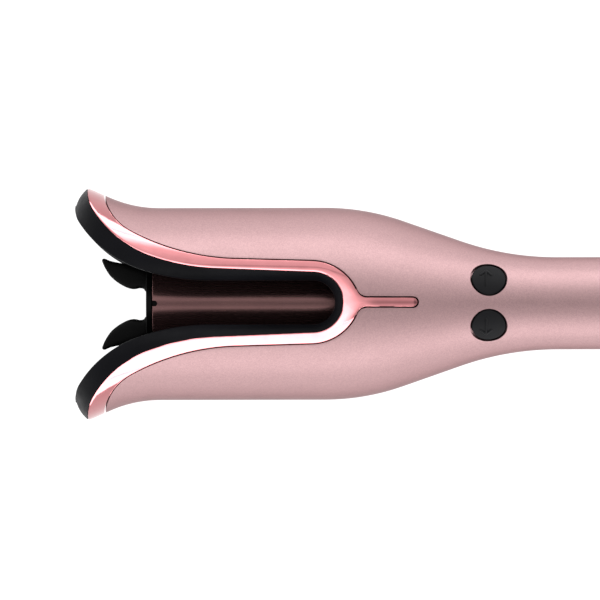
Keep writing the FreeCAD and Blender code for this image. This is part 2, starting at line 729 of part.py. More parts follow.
def make_barrel():
    inner = "barrel_radius - barrel_wall"
    tube = turned("barrel_tube", rectangle("barrel_start_x", "barrel_end_x", inner, "barrel_radius"))
    notch_centre = "barrel_end_x - notch_depth + notch_half"
    notch = fuse("key_notch", radial("notch_round", "notch_half", "-15", "15", notch_centre),
                 box("notch_slot", (notch_centre, "barrel_end_x + 1"), ("-notch_half", "notch_half"),
                     ("-15", "15")))
    keep("barrel_tube", cut("notched_tube", tube, notch))

    cap = revolved_form("cap_disc", [
        ("barrel_end_x - 4", "0"),
        ("barrel_end_x - 4", inner),
        ("barrel_end_x", inner),
        ("barrel_end_x", "barrel_radius"),
        ("cap_face_x - 0.5", "barrel_radius"),
        ("cap_face_x", "barrel_radius - 0.5"),
        ("cap_face_x", "0"),
    ])
    horns = []
    mirrored = [(s[0], f"-({s[1]})", *flip(s)) for s in hook_steps()]
    for side, steps in (("left", hook_steps()), ("right", mirrored)):
        horn = extruded_form(f"{side}_horn", free_sketch(f"{side}_horn", steps), "hook_thickness / 2")
        horns.append(horn)
    shank, head = "screw_shank", "2.6"
    bores = fuse("cap_bores", axial("cap_bore", shank, "barrel_end_x - 6", "cap_face_x + 1"),
                 axial("cap_counterbore", head, "cap_face_x - 1.3", "cap_face_x + 20"))
    keep("hook_cap", cut("hook_cap_part", fuse("cap_and_hooks", cap, *horns), bores))
    shank_start = "heater_start_x + heater_length"
    screw = fuse("cap_screw_part", axial("cap_shank", shank, shank_start, "cap_face_x - 1.3"),
                 axial("cap_head", f"{head} - 0.1", "cap_face_x - 1.3", "cap_face_x - 0.1"))
    keep("cap_screw", screw)


def flip(step):
    """The arc of a step mirrored across the axis: it bends the other way."""
    return (-step[2], step[3]) if len(step) == 4 else ()


def make_heater():
    end = "heater_start_x + heater_length"
    core = axial("heater_core", "barrel_radius - barrel_wall", "heater_start_x", end)
    for name, z in (("heater_upper", ("heater_gap / 2", "14")), ("heater_lower", ("-14", "-heater_gap / 2"))):
        side = box(name + "_side", ("heater_start_x", end), ("-14", "14"), z)
        keep(name, common(name + "_block", core, side))
    element = ("-heater_gap / 2 + 0.05", "heater_gap / 2 - 0.05")
    keep("heating_element", box("element", ("heater_start_x + 5", f"{end} - 5"), ("-7", "7"), element))
    keep("thermal_fuse", axial("fuse_body", "1.3", "barrel_start_x + 8", "heater_start_x", "5"))


def make_hub():
    spigot = "barrel_radius - barrel_wall"
    turned("barrel_hub", [
        ("hub_start_x", "output_radius"),
        ("output_end_x", "output_radius"),
        ("output_end_x", "hub_bore"),
        ("barrel_start_x + 8", "hub_bore"),
        ("barrel_start_x + 8", spigot),
        ("barrel_start_x", spigot),
        ("barrel_start_x", "barrel_radius"),
        ("hub_flange_x", "barrel_radius"),
        ("hub_flange_x", "journal_radius"),
        ("journal_start_x", "journal_radius"),
        ("journal_start_x", "drum_radius"),
        ("hub_start_x", "drum_radius"),
    ])
    rings = []
    for i, start in enumerate(("slip_ring_rear_x", "slip_ring_rear_x + slip_ring_pitch")):
        outer = axial(f"ring_outer_{i}", "slip_ring_radius", start, f"{start} + slip_ring_width")
        inner = axial(f"ring_inner_{i}", "drum_radius", f"{start} - 1", f"{start} + slip_ring_width + 1")
        rings.append(cut(f"slip_ring_{i}", outer, inner))
    group("slip_rings", *rings)


# ---------------------------------------------------------------- motor and reduction


def gear_wire(teeth, tip, root, thinning, x):
    """Outline of an involute gear about the tool's axis, with a tooth centred on +Y."""
    pitch = size("gear_module") * teeth / 2
    base = pitch * math.cos(PRESSURE_ANGLE)

    def involute(angle):
        return math.tan(angle) - angle

    def half_angle(radius):
        at = math.acos(min(1.0, base / radius))
        return math.pi / (2 * teeth) - thinning / (2 * pitch) + involute(PRESSURE_ANGLE) - involute(at)

    def point(radius, angle):
        return Vector(x, radius * math.cos(angle), radius * math.sin(angle))

    flank_start = max(root, base)
    stations = [flank_start + (tip - flank_start) * i / 4 for i in range(5)]
    edges = []
    for tooth in range(teeth):
        middle = 2 * math.pi * tooth / teeth
        following = middle + 2 * math.pi / teeth
        rising = Part.BSplineCurve()
        rising.interpolate([point(r, middle - half_angle(r)) for r in stations])
        falling = Part.BSplineCurve()
        falling.interpolate([point(r, middle + half_angle(r)) for r in reversed(stations)])
        low, high = half_angle(flank_start), half_angle(tip)
        if root < base:
            edges.append(Part.LineSegment(point(root, middle - low), point(base, middle - low)))
        edges.append(rising)
        edges.append(Part.Arc(point(tip, middle - high), point(tip, middle), point(tip, middle + high)))
        edges.append(falling)
        if root < base:
            edges.append(Part.LineSegment(point(base, middle + low), point(root, middle + low)))
        gap = (middle + following) / 2
        edges.append(Part.Arc(point(root, middle + low), point(root, gap), point(root, following - low)))
    return Part.Wire([e.toShape() for e in edges])


def external_gear(label, teeth, bore, at=(0.0, 0.0)):
    """A spur gear with a bore. Involute flanks need their own curves, so this is a plain feature."""
    module, x = size("gear_module"), size("gear_start_x")
    pitch = module * teeth / 2
    wire = gear_wire(teeth, pitch + ADDENDUM * module, pitch - DEDENDUM * module, size("tooth_thinning"), x)
    width = Vector(size("gear_width"), 0, 0)
    solid = Part.Face(wire).extrude(width)
    hole = Part.makeCylinder(bore, width.x + 2, Vector(x - 1, 0, 0), Vector(1, 0, 0))
    made = doc.addObject("Part::Feature", label)
    made.Shape = solid.cut(hole)
    made.Placement = FreeCAD.Placement(Vector(0, *at), FreeCAD.Rotation())
    return keep(label, made)


def make_ring_gear():
    """Housing with internal teeth, and a plain bore beyond them for the carrier."""
    module, teeth = size("gear_module"), int(size("ring_teeth"))
    start, end = size("gear_start_x") - 1.5, size("gearbox_end_x")
    pitch = module * teeth / 2
    length = size("gear_width") + 2
    outside = Part.makeCylinder(size("gearbox_radius"), end - start, Vector(start, 0, 0), Vector(1, 0, 0))
    tip, root = pitch - ADDENDUM * module, pitch + DEDENDUM * module
    spaces = gear_wire(teeth, root, tip, -size("tooth_thinning"), start - 1)
    toothed = Part.Face(spaces).extrude(Vector(end - start + 2, 0, 0))
    plain_start = start + length
    plain = Part.makeCylinder(pitch + 0.7, end - plain_start + 1, Vector(plain_start, 0, 0), Vector(1, 0, 0))
    made = doc.addObject("Part::Feature", "ring_gear")
    made.Shape = outside.cut(toothed).cut(plain)
    keep("ring_gear", made)


def planet_places():
    orbit = "gear_module * (sun_teeth + planet_teeth) / 2"
    for letter, angle in zip("abc", (0, 120, 240)):
        yield letter, f"{orbit} * cos({angle}deg)", f"{orbit} * sin({angle}deg)"


def make_gearbox():
    make_ring_gear()
    gear_end = "gear_start_x + gear_width"
    start = "gear_start_x - 1.5"
    turned("gearbox_base", rectangle("motor_end_x", start, "3.8", "gearbox_radius"))
    external_gear("sun_gear", int(size("sun_teeth")), size("motor_shaft_radius"))
    pins = []
    for letter, y, z in planet_places():
        teeth = int(size("planet_teeth"))
        external_gear(f"planet_gear_{letter}", teeth, 1 + size("running_gap"), (size(y), size(z)))
        pins.append(axial(f"planet_pin_{letter}", "1", "gear_start_x - 0.8", f"{gear_end} + 1.4", y, z))
    group("planet_pins", *pins)
    turned("planet_carrier", [
        (f"{gear_end} + 1.4", "0"),
        (f"{gear_end} + 1.4", "10"),
        (f"{gear_end} + 4", "10"),
        (f"{gear_end} + 4", "output_radius"),
        ("output_end_x", "output_radius"),
        ("output_end_x", "0"),
    ])
    seat = "output_radius + running_gap + 2"
    turned("gearbox_cover", rectangle("gearbox_end_x", "gearbox_end_x + 2.5", seat, "gearbox_radius"))
    inside = "output_radius + running_gap"
    turned("output_bush", rectangle("gearbox_end_x", "gearbox_end_x + 3", inside, seat))


def make_motor():
    shaft_hole = "motor_shaft_radius + running_gap"
    turned("motor_can", [
        ("motor_start_x", "motor_radius - 1"),
        ("motor_end_x - 1.5", "motor_radius - 1"),
        ("motor_end_x - 1.5", shaft_hole),
        ("motor_end_x", shaft_hole),
        ("motor_end_x", "motor_radius"),
        ("motor_start_x", "motor_radius"),
    ])
    turned("motor_end_bell", [
        ("motor_start_x - 3", shaft_hole),
        ("motor_start_x + 1.5", shaft_hole),
        ("motor_start_x + 1.5", "motor_radius - 1"),
        ("motor_start_x", "motor_radius - 1"),
        ("motor_start_x", "motor_radius - 0.8"),
        ("motor_start_x - 3", "motor_radius - 0.8"),
    ])
    turned("motor_magnets", rectangle("motor_start_x + 5", "motor_end_x - 5",
                                      "motor_radius - 2.8", "motor_radius - 1"))
    turned("motor_armature", rectangle("motor_start_x + 6", "motor_end_x - 6",
                                       "motor_shaft_radius", "motor_radius - 3.2"))
    shaft_end = "gear_start_x + gear_width + 0.4"
    keep("motor_shaft", axial("shaft", "motor_shaft_radius", "motor_start_x - 4", shaft_end))
    dampers = []
    for i, start in enumerate(("motor_start_x + 4", "motor_start_x + 18")):
        end = f"{start} + 4"
        ring = cut(f"damper_ring_{i}", axial(f"damper_outside_{i}", "grip_radius - wall", start, end),
                   axial(f"damper_inside_{i}", "motor_radius", f"{start} - 1", f"{end} + 1"))
        passage = box(f"cable_passage_{i}", (f"{start} - 1", f"{end} + 1"), ("-4", "4"), ("-20", "20"))
        dampers.append(cut(f"damper_{i}", ring, passage))
    group("motor_dampers", *dampers)
    leads = [axial(f"motor_lead_{i}", "0.6", "board_end_x", "motor_start_x - 3", y, "power_board_z + 0.8")
             for i, y in enumerate(("-4", "4"))]
    group("motor_leads", *leads)


# ---------------------------------------------------------------- boards and controls


def buttons():
    """(label, x, radius, tilt) of every button."""
    yield "left_button", "arrow_x", "arrow_button_radius", "-arrow_tilt"
    yield "right_button", "arrow_x", "arrow_button_radius", "arrow_tilt"
    yield "power_button", "power_x", "power_button_radius", "0"
    yield "plus_button", "plus_x", "step_button_radius", "0"
    yield "minus_button", "minus_x", "step_button_radius", "0"


def make_boards():
    span = ("board_start_x", "board_end_x")
    outline = rectangle(*span, "-13", "13")
    padded("power_board", "XY_Plane", outline, "power_board_z", "board_thickness")
    panel = rectangle("board_start_x + 2", "board_end_x", "-10.5", "10.5")
    padded("panel_board", "XY_Plane", panel, "panel_board_z", "1.2")
    top, under = "power_board_z + board_thickness", "power_board_z"
    group(
        "power_parts",
        axial("capacitor", "3.6", "30", "46", "-4", f"{under} - 3.6"),
        box("relay", ("50", "64"), ("-9", "0"), (f"{under} - 6", under)),
        box("triac", ("50", "60"), ("3", "8"), (f"{under} - 5", under)),
        box("connector", ("70", "board_end_x - 2"), ("-3.5", "3.5"), (f"{under} - 9.8", under)),
        box("transformer", ("32", "46"), ("-6", "6"), (top, f"{top} + 7")),
        box("microcontroller", ("54", "62"), ("-4", "4"), (top, f"{top} + 1.2")),
    )
    face = "panel_board_z + 1.2"
    switches = []
    for name, x in (("power", "power_x"), ("plus", "plus_x"), ("minus", "minus_x")):
        half = "switch_side / 2"
        base = box(name + "_switch", (f"{x} - {half}", f"{x} + {half}"), (f"-{half}", half), (face, "12"))
        switches.append(fuse(name + "_tact", base, radial(name + "_plunger", "1.5", "12", "12.5", x)))
    group("panel_switches", *switches)
    display = ("window_start_x - 0.5", "window_start_x + window_length")
    keep("display_module", box("display", display, ("-7", "7"), (face, "12.4")))
    boards, tacts = [], []
    for side, tilt in (("left", "-arrow_tilt"), ("right", "arrow_tilt")):
        boards.append(radial_box(side + "_arrow_board", "12", "6.8", "8", "9.2", "arrow_x", tilt))
        body = radial_box(side + "_arrow_switch", "switch_side", "switch_side", "9.2", "12", "arrow_x", tilt)
        plunger = radial(side + "_arrow_plunger", "1.5", "12", "12.5", "arrow_x", tilt)
        tacts.append(fuse(side + "_arrow_tact", body, plunger))
    group("arrow_boards", *boards)
    group("arrow_switches", *tacts)
    make_ribbon()


def make_ribbon():
    """Flat cable from the panel board over the motor and gearbox to the arrow boards."""
    low, high, thick = "panel_board_z + 1.2", "13.2", "0.6"
    steps = [
        ("board_end_x - 1", low),
        ("board_end_x", low),
        ("motor_start_x - 1", high),
        ("gearbox_end_x + 2.7", high),
        ("arrow_x - 6.1", "9.6"),
        ("arrow_x - 6.1", f"9.6 + {thick} + 0.6"),
        ("gearbox_end_x + 3.2", f"{high} + {thick}"),
        ("motor_start_x - 1.3", f"{high} + {thick}"),
        ("board_end_x - 0.3", f"{low} + {thick}"),
        ("board_end_x - 1", f"{low} + {thick}"),
    ]
    padded("switch_ribbon", "XZ_Plane", steps, "-3", "6", "cable")


def make_controls(forms):
    for name, x, radius, tilt in buttons():
        arrow = radius == "arrow_button_radius"
        low = "14.2" if arrow else "12.5 + press_travel"
        surface = forms["trim_top"] if arrow else forms["flush"]
        foot = f"{low} + 1" if arrow else low
        cap = common(name + "_cap", radial(name + "_column", radius, foot, "30", x, tilt), surface)
        if arrow:  # the flange is narrow across the tool, because the two buttons meet there
            flange = radial_box(name + "_flange", "14.6", "12.4", low, f"{low} + 1", x, tilt)
            stem = radial(name + "_stem", "2", "12.5 + press_travel", "15", x, tilt)
            keep(name, fuse(name + "_part", cap, flange, stem))
            continue
        flange = radial(name + "_flange", f"{radius} + 0.8", low, f"{low} + 0.8", x, tilt)
        keep(name, fuse(name + "_part", cap, flange))
    x = ("window_start_x + fit_gap", "window_start_x + window_length - fit_gap")
    y = ("-window_half + fit_gap", "window_half - fit_gap")
    keep("display_window", common("window_pane", box("window_block", x, y, ("12.4", "30")), forms["flush"]))


# ---------------------------------------------------------------- cord end and screws


def make_cord_end(forms):
    turned("cord_gland", [
        ("0", "gland_bore"),
        ("0", "gland_radius - 2"),
        ("1.5", "gland_radius - 0.8"),
        ("end_cap_x - 1", "gland_radius"),
        ("gland_length - 2.2", "gland_radius"),
        ("gland_length - 2.2", "gland_radius + 2"),
        ("gland_length", "gland_radius + 2"),
        ("gland_length", "gland_bore"),
    ])
    turned("end_cap", [
        ("end_cap_x", "gland_radius + running_gap"),
        ("end_cap_x", "end_face_radius - 3.2"),
        ("end_cap_x + 2", "end_face_radius - 1"),
        ("end_face_x", "end_face_radius - 0.6"),
        ("end_face_x", "end_hole_radius - 0.1"),
        ("end_face_x + wall", "end_hole_radius - 0.1"),
        ("end_face_x + wall", "end_face_radius - wall - 0.1"),
        ("gland_length - 2.5", "end_face_radius - wall - 0.1"),
        ("gland_length - 2.5", "gland_radius + running_gap"),
    ])
    socket = axial("socket_disc", "grip_radius", "gland_length + 0.5", "board_start_x - 2")
    keep("swivel_socket", common("socket_part", socket, forms["inside"]))
    leads = [axial(f"mains_lead_{i}", "0.7", "board_start_x - 2", "board_start_x", y, "power_board_z + 0.8")
             for i, y in enumerate(("-4", "4"))]
    group("mains_leads", *leads)


def make_screws():
    screws = []
    for name, x, y, _, seat, top in screw_places():
        shank = radial(name + "_shank", "screw_shank", f"-{seat}", top, x, y=y)
        head = radial(name + "_head", "screw_shank + 0.8", f"-{seat} - 1.8", f"-{seat}", x, y=y)
        recess = box(name + "_slot", (f"{x} - 3", f"{x} + 3"), (f"{y} - 0.3", f"{y} + 0.3"),
                     (f"-{seat} - 3", f"-{seat} - 1"))
        screws.append(cut(name + "_screw", fuse(name + "_blank", shank, head), recess))
    group("shell_screws", *screws)


def make_feet():
    feet = [radial(side + "_foot", "foot_radius", "foot_seat", "foot_top", "foot_x", tilt)
            for side, tilt in foot_places()]
    group("rest_feet", *feet)


# ---------------------------------------------------------------- building and export


def build():
    fill_sheet()
    forms = head_forms()
    forms["flush"] = revolved_form("flush_surface", casing_steps("0.1"))
    make_casing(forms)
    make_trims(forms)
    make_liners(forms)
    make_frame(forms)
    make_brush_gear()
    make_barrel()
    make_heater()
    make_hub()
    make_gearbox()
    make_motor()
    make_boards()
    make_controls(forms)
    make_cord_end(forms)
    make_screws()
    make_feet()
    doc.recompute()


def check():
    """Stops on any failed object or bad shape, because a recompute doesn't."""
    failed = [f"{o.Name} {o.State}" for o in doc.Objects if {"Invalid", "Error"} & set(o.State)]
    for label, thing in nodes.items():
        shape = thing.Shape
        if shape.isNull() or not shape.isValid() or not shape.Solids:
            failed.append(f"{label} has no valid solid")
    if failed:
        raise SystemExit("failed: " + ", ".join(failed))


def export():
    os.makedirs("parts", exist_ok=True)
    for old in os.listdir("parts"):
        os.remove(os.path.join("parts", old))
    for label, thing in nodes.items():
        thing.Shape.exportStep(f"parts/{label}.step")
        print(f"{label}: {len(thing.Shape.Solids)} solid(s), {thing.Shape.Volume / 1000:.2f} cm3")


build()
check()
export()
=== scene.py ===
"""Looks of the automatic hair curler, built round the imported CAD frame.

Lengths in the outlines and profiles are millimetres in the row frame: X along the tool from the cord gland to
the petal tips, Z out of the face with the buttons, Y from petal to petal. Meshes are made in metres.
"""

import json
import math

import bmesh
import bpy
import numpy as np
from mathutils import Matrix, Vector


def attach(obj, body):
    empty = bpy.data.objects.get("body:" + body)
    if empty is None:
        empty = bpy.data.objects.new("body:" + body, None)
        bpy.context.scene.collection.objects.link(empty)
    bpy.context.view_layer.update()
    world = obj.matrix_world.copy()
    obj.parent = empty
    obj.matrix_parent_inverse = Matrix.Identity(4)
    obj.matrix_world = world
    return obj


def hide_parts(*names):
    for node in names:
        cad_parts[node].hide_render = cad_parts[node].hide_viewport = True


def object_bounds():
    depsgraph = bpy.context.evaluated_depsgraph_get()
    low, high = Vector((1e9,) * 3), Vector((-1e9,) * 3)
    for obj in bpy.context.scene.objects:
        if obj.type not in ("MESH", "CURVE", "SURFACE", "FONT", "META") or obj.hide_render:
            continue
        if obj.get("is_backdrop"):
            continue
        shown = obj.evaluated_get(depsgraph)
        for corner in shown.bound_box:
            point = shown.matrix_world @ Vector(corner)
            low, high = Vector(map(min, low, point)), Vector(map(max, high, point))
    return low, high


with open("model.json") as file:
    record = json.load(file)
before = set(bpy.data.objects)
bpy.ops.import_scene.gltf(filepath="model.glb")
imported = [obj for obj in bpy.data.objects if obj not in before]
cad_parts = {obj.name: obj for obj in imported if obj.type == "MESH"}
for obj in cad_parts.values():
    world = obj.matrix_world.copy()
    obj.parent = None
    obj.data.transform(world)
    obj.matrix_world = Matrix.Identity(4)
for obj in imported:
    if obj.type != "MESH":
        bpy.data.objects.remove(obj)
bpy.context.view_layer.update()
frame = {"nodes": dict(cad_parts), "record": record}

MM = 0.001
QUARTER = math.pi / 2


# -------- curves


STEPS = 60  # points along an arc or a straight run
FINE = 200  # points along a piece of a tangent outline


def arc(start, end, radius, turn):
    """Points of an arc from start to end; turn is +1 to bend left, -1 to bend right."""
    p, q = np.array(start, float), np.array(end, float)
    chord = q - p
    length = np.hypot(*chord)
    left = np.array([-chord[1], chord[0]]) / length
    centre = (p + q) / 2 + left * turn * math.sqrt(max(0.0, radius**2 - length**2 / 4))
    first = math.atan2(*(p - centre)[::-1])
    last = math.atan2(*(q - centre)[::-1])
    if turn > 0 and last < first:
        last += 2 * math.pi
    if turn < 0 and last > first:
        last -= 2 * math.pi
    angles = np.linspace(first, last, STEPS)
    return np.stack([centre[0] + radius * np.cos(angles), centre[1] + radius * np.sin(angles)], 1)


def line(start, end, count=STEPS):
    return np.linspace(np.array(start, float), np.array(end, float), count)


def level_arc(run, rise):
    """Radius of an arc that starts level and climbs by rise over run."""
    return (run**2 + rise**2) / (2 * rise)


def chain(*pieces):
    """Joins polylines end to end, without the repeated points."""
    return np.concatenate([pieces[0]] + [p[1:] for p in pieces[1:]])


def lengths(points):
    return np.concatenate([[0], np.cumsum(np.linalg.norm(np.diff(points, axis=0), axis=1))])


def resample(points, count, measure=None):
    """count points at equal steps along a polyline, measured on it or on a polyline that goes with it."""
    s = lengths(points if measure is None else measure)
    wanted = np.linspace(0, s[-1], count)
    return np.stack([np.interp(wanted, s, column) for column in points.T], 1)


def smoothstep(low, high, value):
    t = np.clip((value - low) / (high - low), 0, 1)
    return t * t * (3 - 2 * t)


# The casing's profile (x, radius), the same as the CAD casing's.
CASING = chain(
    arc((10, 13.3), (24, 17.3), level_arc(14, 4.0), -1),
    line((24, 17.3), (118, 17.3), 3),
    arc((118, 17.3), (154, 23.4), level_arc(36, 6.1), 1),
    line((154, 23.4), (176, 31.1), 3),
    arc((176, 31.1), (205, 36), level_arc(29, 4.9), -1),
    line((205, 36), (267, 36), 3),
    arc((267, 36), (285, 39.7), level_arc(18, 3.7), 1),
    line((285, 39.7), (294, 43.6), 3),
)


def soften(points, reach=3.0, step=0.5):
    """Rounds the small kinks where a profile's pieces meet."""
    x = np.arange(points[0, 0], points[-1, 0], step)
    y = np.interp(x, points[:, 0], points[:, 1])
    half = int(reach / step)
    window = np.hanning(2 * half + 3)[1:-1]
    padded = np.concatenate([y[0] + (y[0] - y[half:0:-1]), y, y[-1] + (y[-1] - y[-2:-half - 2:-1])])
    return x, np.convolve(padded, window / window.sum(), "valid")


CASING_X, CASING_R = soften(CASING)
CHAMBER = chain(line((180, 24), (262, 24), 3), arc((262, 24), (300, 36), level_arc(38, 12), 1))


def casing_radius(x):
    return np.interp(x, CASING_X, CASING_R)


def chamber_radius(x):
    return np.interp(x, CHAMBER[:, 0], CHAMBER[:, 1])


def lip_edge_radius(x):
    """Distance of the lip's inner edge from the axis: it rises to the petal tips."""
    return 31.0 + 5.4 * smoothstep(258, 303, np.asarray(x, float)) ** 1.15


def tangent_line(apex_x, *moves):
    """An outline from its apex on the axis, made of tangent arcs and straight runs.

    An arc is (turn as for arc, radius, heading at its end in degrees), a run is (x at its end,)."""
    x, y, heading = apex_x, 0.0, QUARTER
    pieces = []
    for move in moves:
        if len(move) == 1:
            end = (move[0], y + (move[0] - x) * math.tan(heading))
            piece = line((x, y), end, FINE)
        else:
            turn, radius, last = move
            a = np.linspace(heading, math.radians(last), FINE)
            reach = turn * radius
            piece = np.stack([x + reach * (np.sin(a) - math.sin(heading)),
                              y + reach * (math.cos(heading) - np.cos(a))], 1)
            heading = a[-1]
        x, y = piece[-1]
        pieces.append(piece)
    return chain(*pieces)


def split(points, stations):
    """Cuts a polyline where it passes each x."""
    cuts = [0] + [int(np.argmax(points[:, 0] >= x)) for x in stations] + [len(points) - 1]
    return [points[a:b + 1] for a, b in zip(cuts[:-1], cuts[1:])]


# Slot outlines, each cut into four stretches that lie beside each other: the round end, the straight side and
# two of the flare.
TRIM_NOSE_X, TRIM_NOSE_ARC = 192.25, 12.5
MOUTH = [
    arc((201.4, 0), (209.6, 8.2), 8.2, -1),
    line((209.6, 8.2), (248, 8.2)),
    arc((248, 8.2), (276, 13.3), level_arc(28, 5.1), 1),
    arc((276, 13.3), (300, 36.3), 42.9, 1),
]
LIP = split(tangent_line(198.35, (-1, 11.4, 2.3), (246,), (1, 79, 20.4), (1, 41.4, 59), (1, 16.3, 89)),
            (209.3, 246, 272.5))
TRIM = split(tangent_line(TRIM_NOSE_X, (-1, TRIM_NOSE_ARC, 60), (-1, 19, 1.6), (238.3,), (1, 87, 28.4),
                          (1, 19.6, 90)),
             (209.5, 245.8, 270.5))
COUNTS = (30, 34, 30, 48)  # points along the four stretches


def on_surface(plan, radius):
    """(x, angle from the front, radius) of plan points (x, y), lifted onto a surface of revolution."""
    r = radius(plan[:, 0])
    return np.stack([plan[:, 0], np.arcsin(np.clip(plan[:, 1] / r, 0, 1)), r], 1)


def polar(x, angle, r):
    """Cartesian points by place along the axis, angle from the front and radius."""
    return np.stack([x, r * np.sin(angle), r * np.cos(angle)], -1)


def solid_points(rail):
    return polar(*rail.T)


def unrolled(rail):
    """(x, distance round the surface) of a rail."""
    return np.stack([rail[:, 0], rail[:, 1] * rail[:, 2]], 1)


def rail_of(pieces, radius, counts=COUNTS):
    """An outline on a surface of revolution, from the slot's round end to the side (z = 0)."""
    flare = resample(pieces[-1], 1500)
    beyond = np.nonzero(flare[:, 1] >= radius(flare[:, 0]))[0]
    if len(beyond):
        flare = flare[: beyond[0] + 1]
    rails = [on_surface(piece, radius) for piece in (*pieces[:-1], flare)]
    rails[-1][-1, 1] = QUARTER
    return chain(*[resample(rail, count, solid_points(rail)) for rail, count in zip(rails, counts)])


def inward(rail, offset):
    """The rail moved sideways on its surface, away from the slot, by offset."""
    along = np.gradient(unrolled(rail), axis=0)
    along /= np.linalg.norm(along, axis=1)[:, None] + 1e-12
    along[0] = (0, 1)
    moved = rail.copy()
    moved[:, 0] += -along[:, 1] * offset
    moved[:, 1] += along[:, 0] * offset / rail[:, 2]
    moved[0, 1] = 0
    moved[:, 1] = np.clip(moved[:, 1], 0, QUARTER)
    moved[-1, 1] = QUARTER
    return moved


def spread(first, last, share):
    """Rows of values that run from a first column to a last one by share."""
    return first[:, None] * (1 - share) + last[:, None] * share


def circle(count):
    return np.linspace(0, 2 * math.pi, count, endpoint=False)


# -------- meshes

WELD = 0.002  # points closer than this are one


def added(name, data):
    """A new object in the scene."""
    made = bpy.data.objects.new(name, data)
    bpy.context.scene.collection.objects.link(made)
    return made


def merged(name, parts):
    """One object out of several, which are removed."""
    work = bmesh.new()
    for part in parts:
        work.from_mesh(part.data)
        bpy.data.objects.remove(part)
    mesh = bpy.data.meshes.new(name)
    work.to_mesh(mesh)
    work.free()
    return added(name, mesh)


class Form:
    """Collects grids of points, in millimetres, and joins them where they meet."""

    def __init__(self):
        self.points, self.faces, self.total = [], [], 0

    def grid(self, rows, closed=False):
        rows = np.asarray(rows, float)
        n, m = rows.shape[:2]
        index = np.arange(n * m).reshape(n, m) + self.total
        if closed:
            index = np.concatenate([index, index[:, :1]], 1)
        a, b, c, d = index[:-1, :-1], index[1:, :-1], index[1:, 1:], index[:-1, 1:]
        self.faces.append(np.stack([a, b, c, d], -1).reshape(-1, 4))
        self.points.append(rows.reshape(-1, 3))
        self.total += n * m
        return self

    def cap(self, ring):
        """Closes a ring with a fan round its middle."""
        return self.grid([np.repeat(ring.mean(0)[None], len(ring), 0), ring], closed=True)

    def mirror(self, axis, keep=False):
        """Mirrors all that is there; keep leaves the original beside its image."""
        points, faces = np.concatenate(self.points), np.concatenate(self.faces)
        sign = np.ones(3)
        sign[axis] = -1
        self.points, self.faces = [points * sign], [faces[:, ::-1]]
        if keep:
            self.points, self.faces = [points, points * sign], [faces, faces[:, ::-1] + len(points)]
            self.total = 2 * len(points)
        return self

    def both_petals(self, front):
        """Adds the other petal's side, and moves everything to the rear unless it is for the front."""
        self.mirror(1, keep=True)
        return self if front else self.mirror(2)

    def object(self, name):
        mesh = bpy.data.meshes.new(name)
        mesh.from_pydata(np.concatenate(self.points) * MM, [], np.concatenate(self.faces).tolist())
        work = bmesh.new()
        work.from_mesh(mesh)
        bmesh.ops.remove_doubles(work, verts=work.verts, dist=WELD * MM)
        bmesh.ops.dissolve_degenerate(work, edges=work.edges, dist=WELD * MM / 4)
        bmesh.ops.recalc_face_normals(work, faces=work.faces)
        work.to_mesh(mesh)
        work.free()
        return added(name, mesh)


def finish_piece(piece, body, slot, *nodes, angle=32):
    """Gives a piece its material and its body, and hides the CAD nodes that it stands for.

    Edges sharper than angle, in degrees, are shaded as edges."""
    piece.data.materials.clear()
    piece.data.materials.append(looks[slot])
    piece.data.shade_smooth()
    piece.data.set_sharp_from_angle(angle=math.radians(angle))
    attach(piece, body)
    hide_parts(*nodes)


def lathe(profile, around):
    """A solid of revolution about the tool's axis, from a closed profile of (x, radius)."""
    return Form().grid([polar(np.full(around, x), circle(around), r) for x, r in profile], closed=True)


def corner_curve(start, corner, end, t):
    """A point of the curve that rounds a corner, at t from 0 to 1."""
    return (1 - t) ** 2 * start + 2 * t * (1 - t) * corner + t**2 * end


def rounded(profile, radius, steps=6):
    """A closed profile with its corners rounded."""
    points = np.asarray(profile, float)
    out = []
    for i, corner in enumerate(points):
        before, after = points[i - 1] - corner, points[(i + 1) % len(points)] - corner
        a, b = np.linalg.norm(before), np.linalg.norm(after)
        size = min(radius, a * 0.45, b * 0.45)
        p, q = corner + before / a * size, corner + after / b * size
        out += [corner_curve(p, corner, q, t) for t in np.linspace(0, 1, steps)]
    return np.array(out)


def densified(profile, step):
    """A closed profile with points at about equal steps along its edges."""
    out = []
    for p, q in zip(profile, np.roll(profile, -1, 0)):
        steps = max(1, int(np.hypot(*(q - p)) / step))
        out += [p + (q - p) * k / steps for k in range(steps)]
    return np.array(out)


def capped(rings):
    return Form().grid(rings, closed=True).cap(rings[0]).cap(rings[-1])


def boolean(piece, *cutters):
    """Cuts closed meshes out of a piece, for good."""
    for cutter in cutters:
        modifier = piece.modifiers.new("cut", "BOOLEAN")
        modifier.operation, modifier.solver, modifier.object = "DIFFERENCE", "EXACT", cutter
    bpy.context.view_layer.update()
    evaluated = piece.evaluated_get(bpy.context.evaluated_depsgraph_get())
    result = bpy.data.meshes.new_from_object(evaluated)
    piece.modifiers.clear()
    piece.data = result
    for cutter in cutters:
        bpy.data.objects.remove(cutter)


def read(items, key, width, kind=float):
    """One attribute of all the items, as an array with a row for each."""
    values = np.zeros(len(items) * width, kind)
    items.foreach_get(key, values)
    return values.reshape(-1, width)


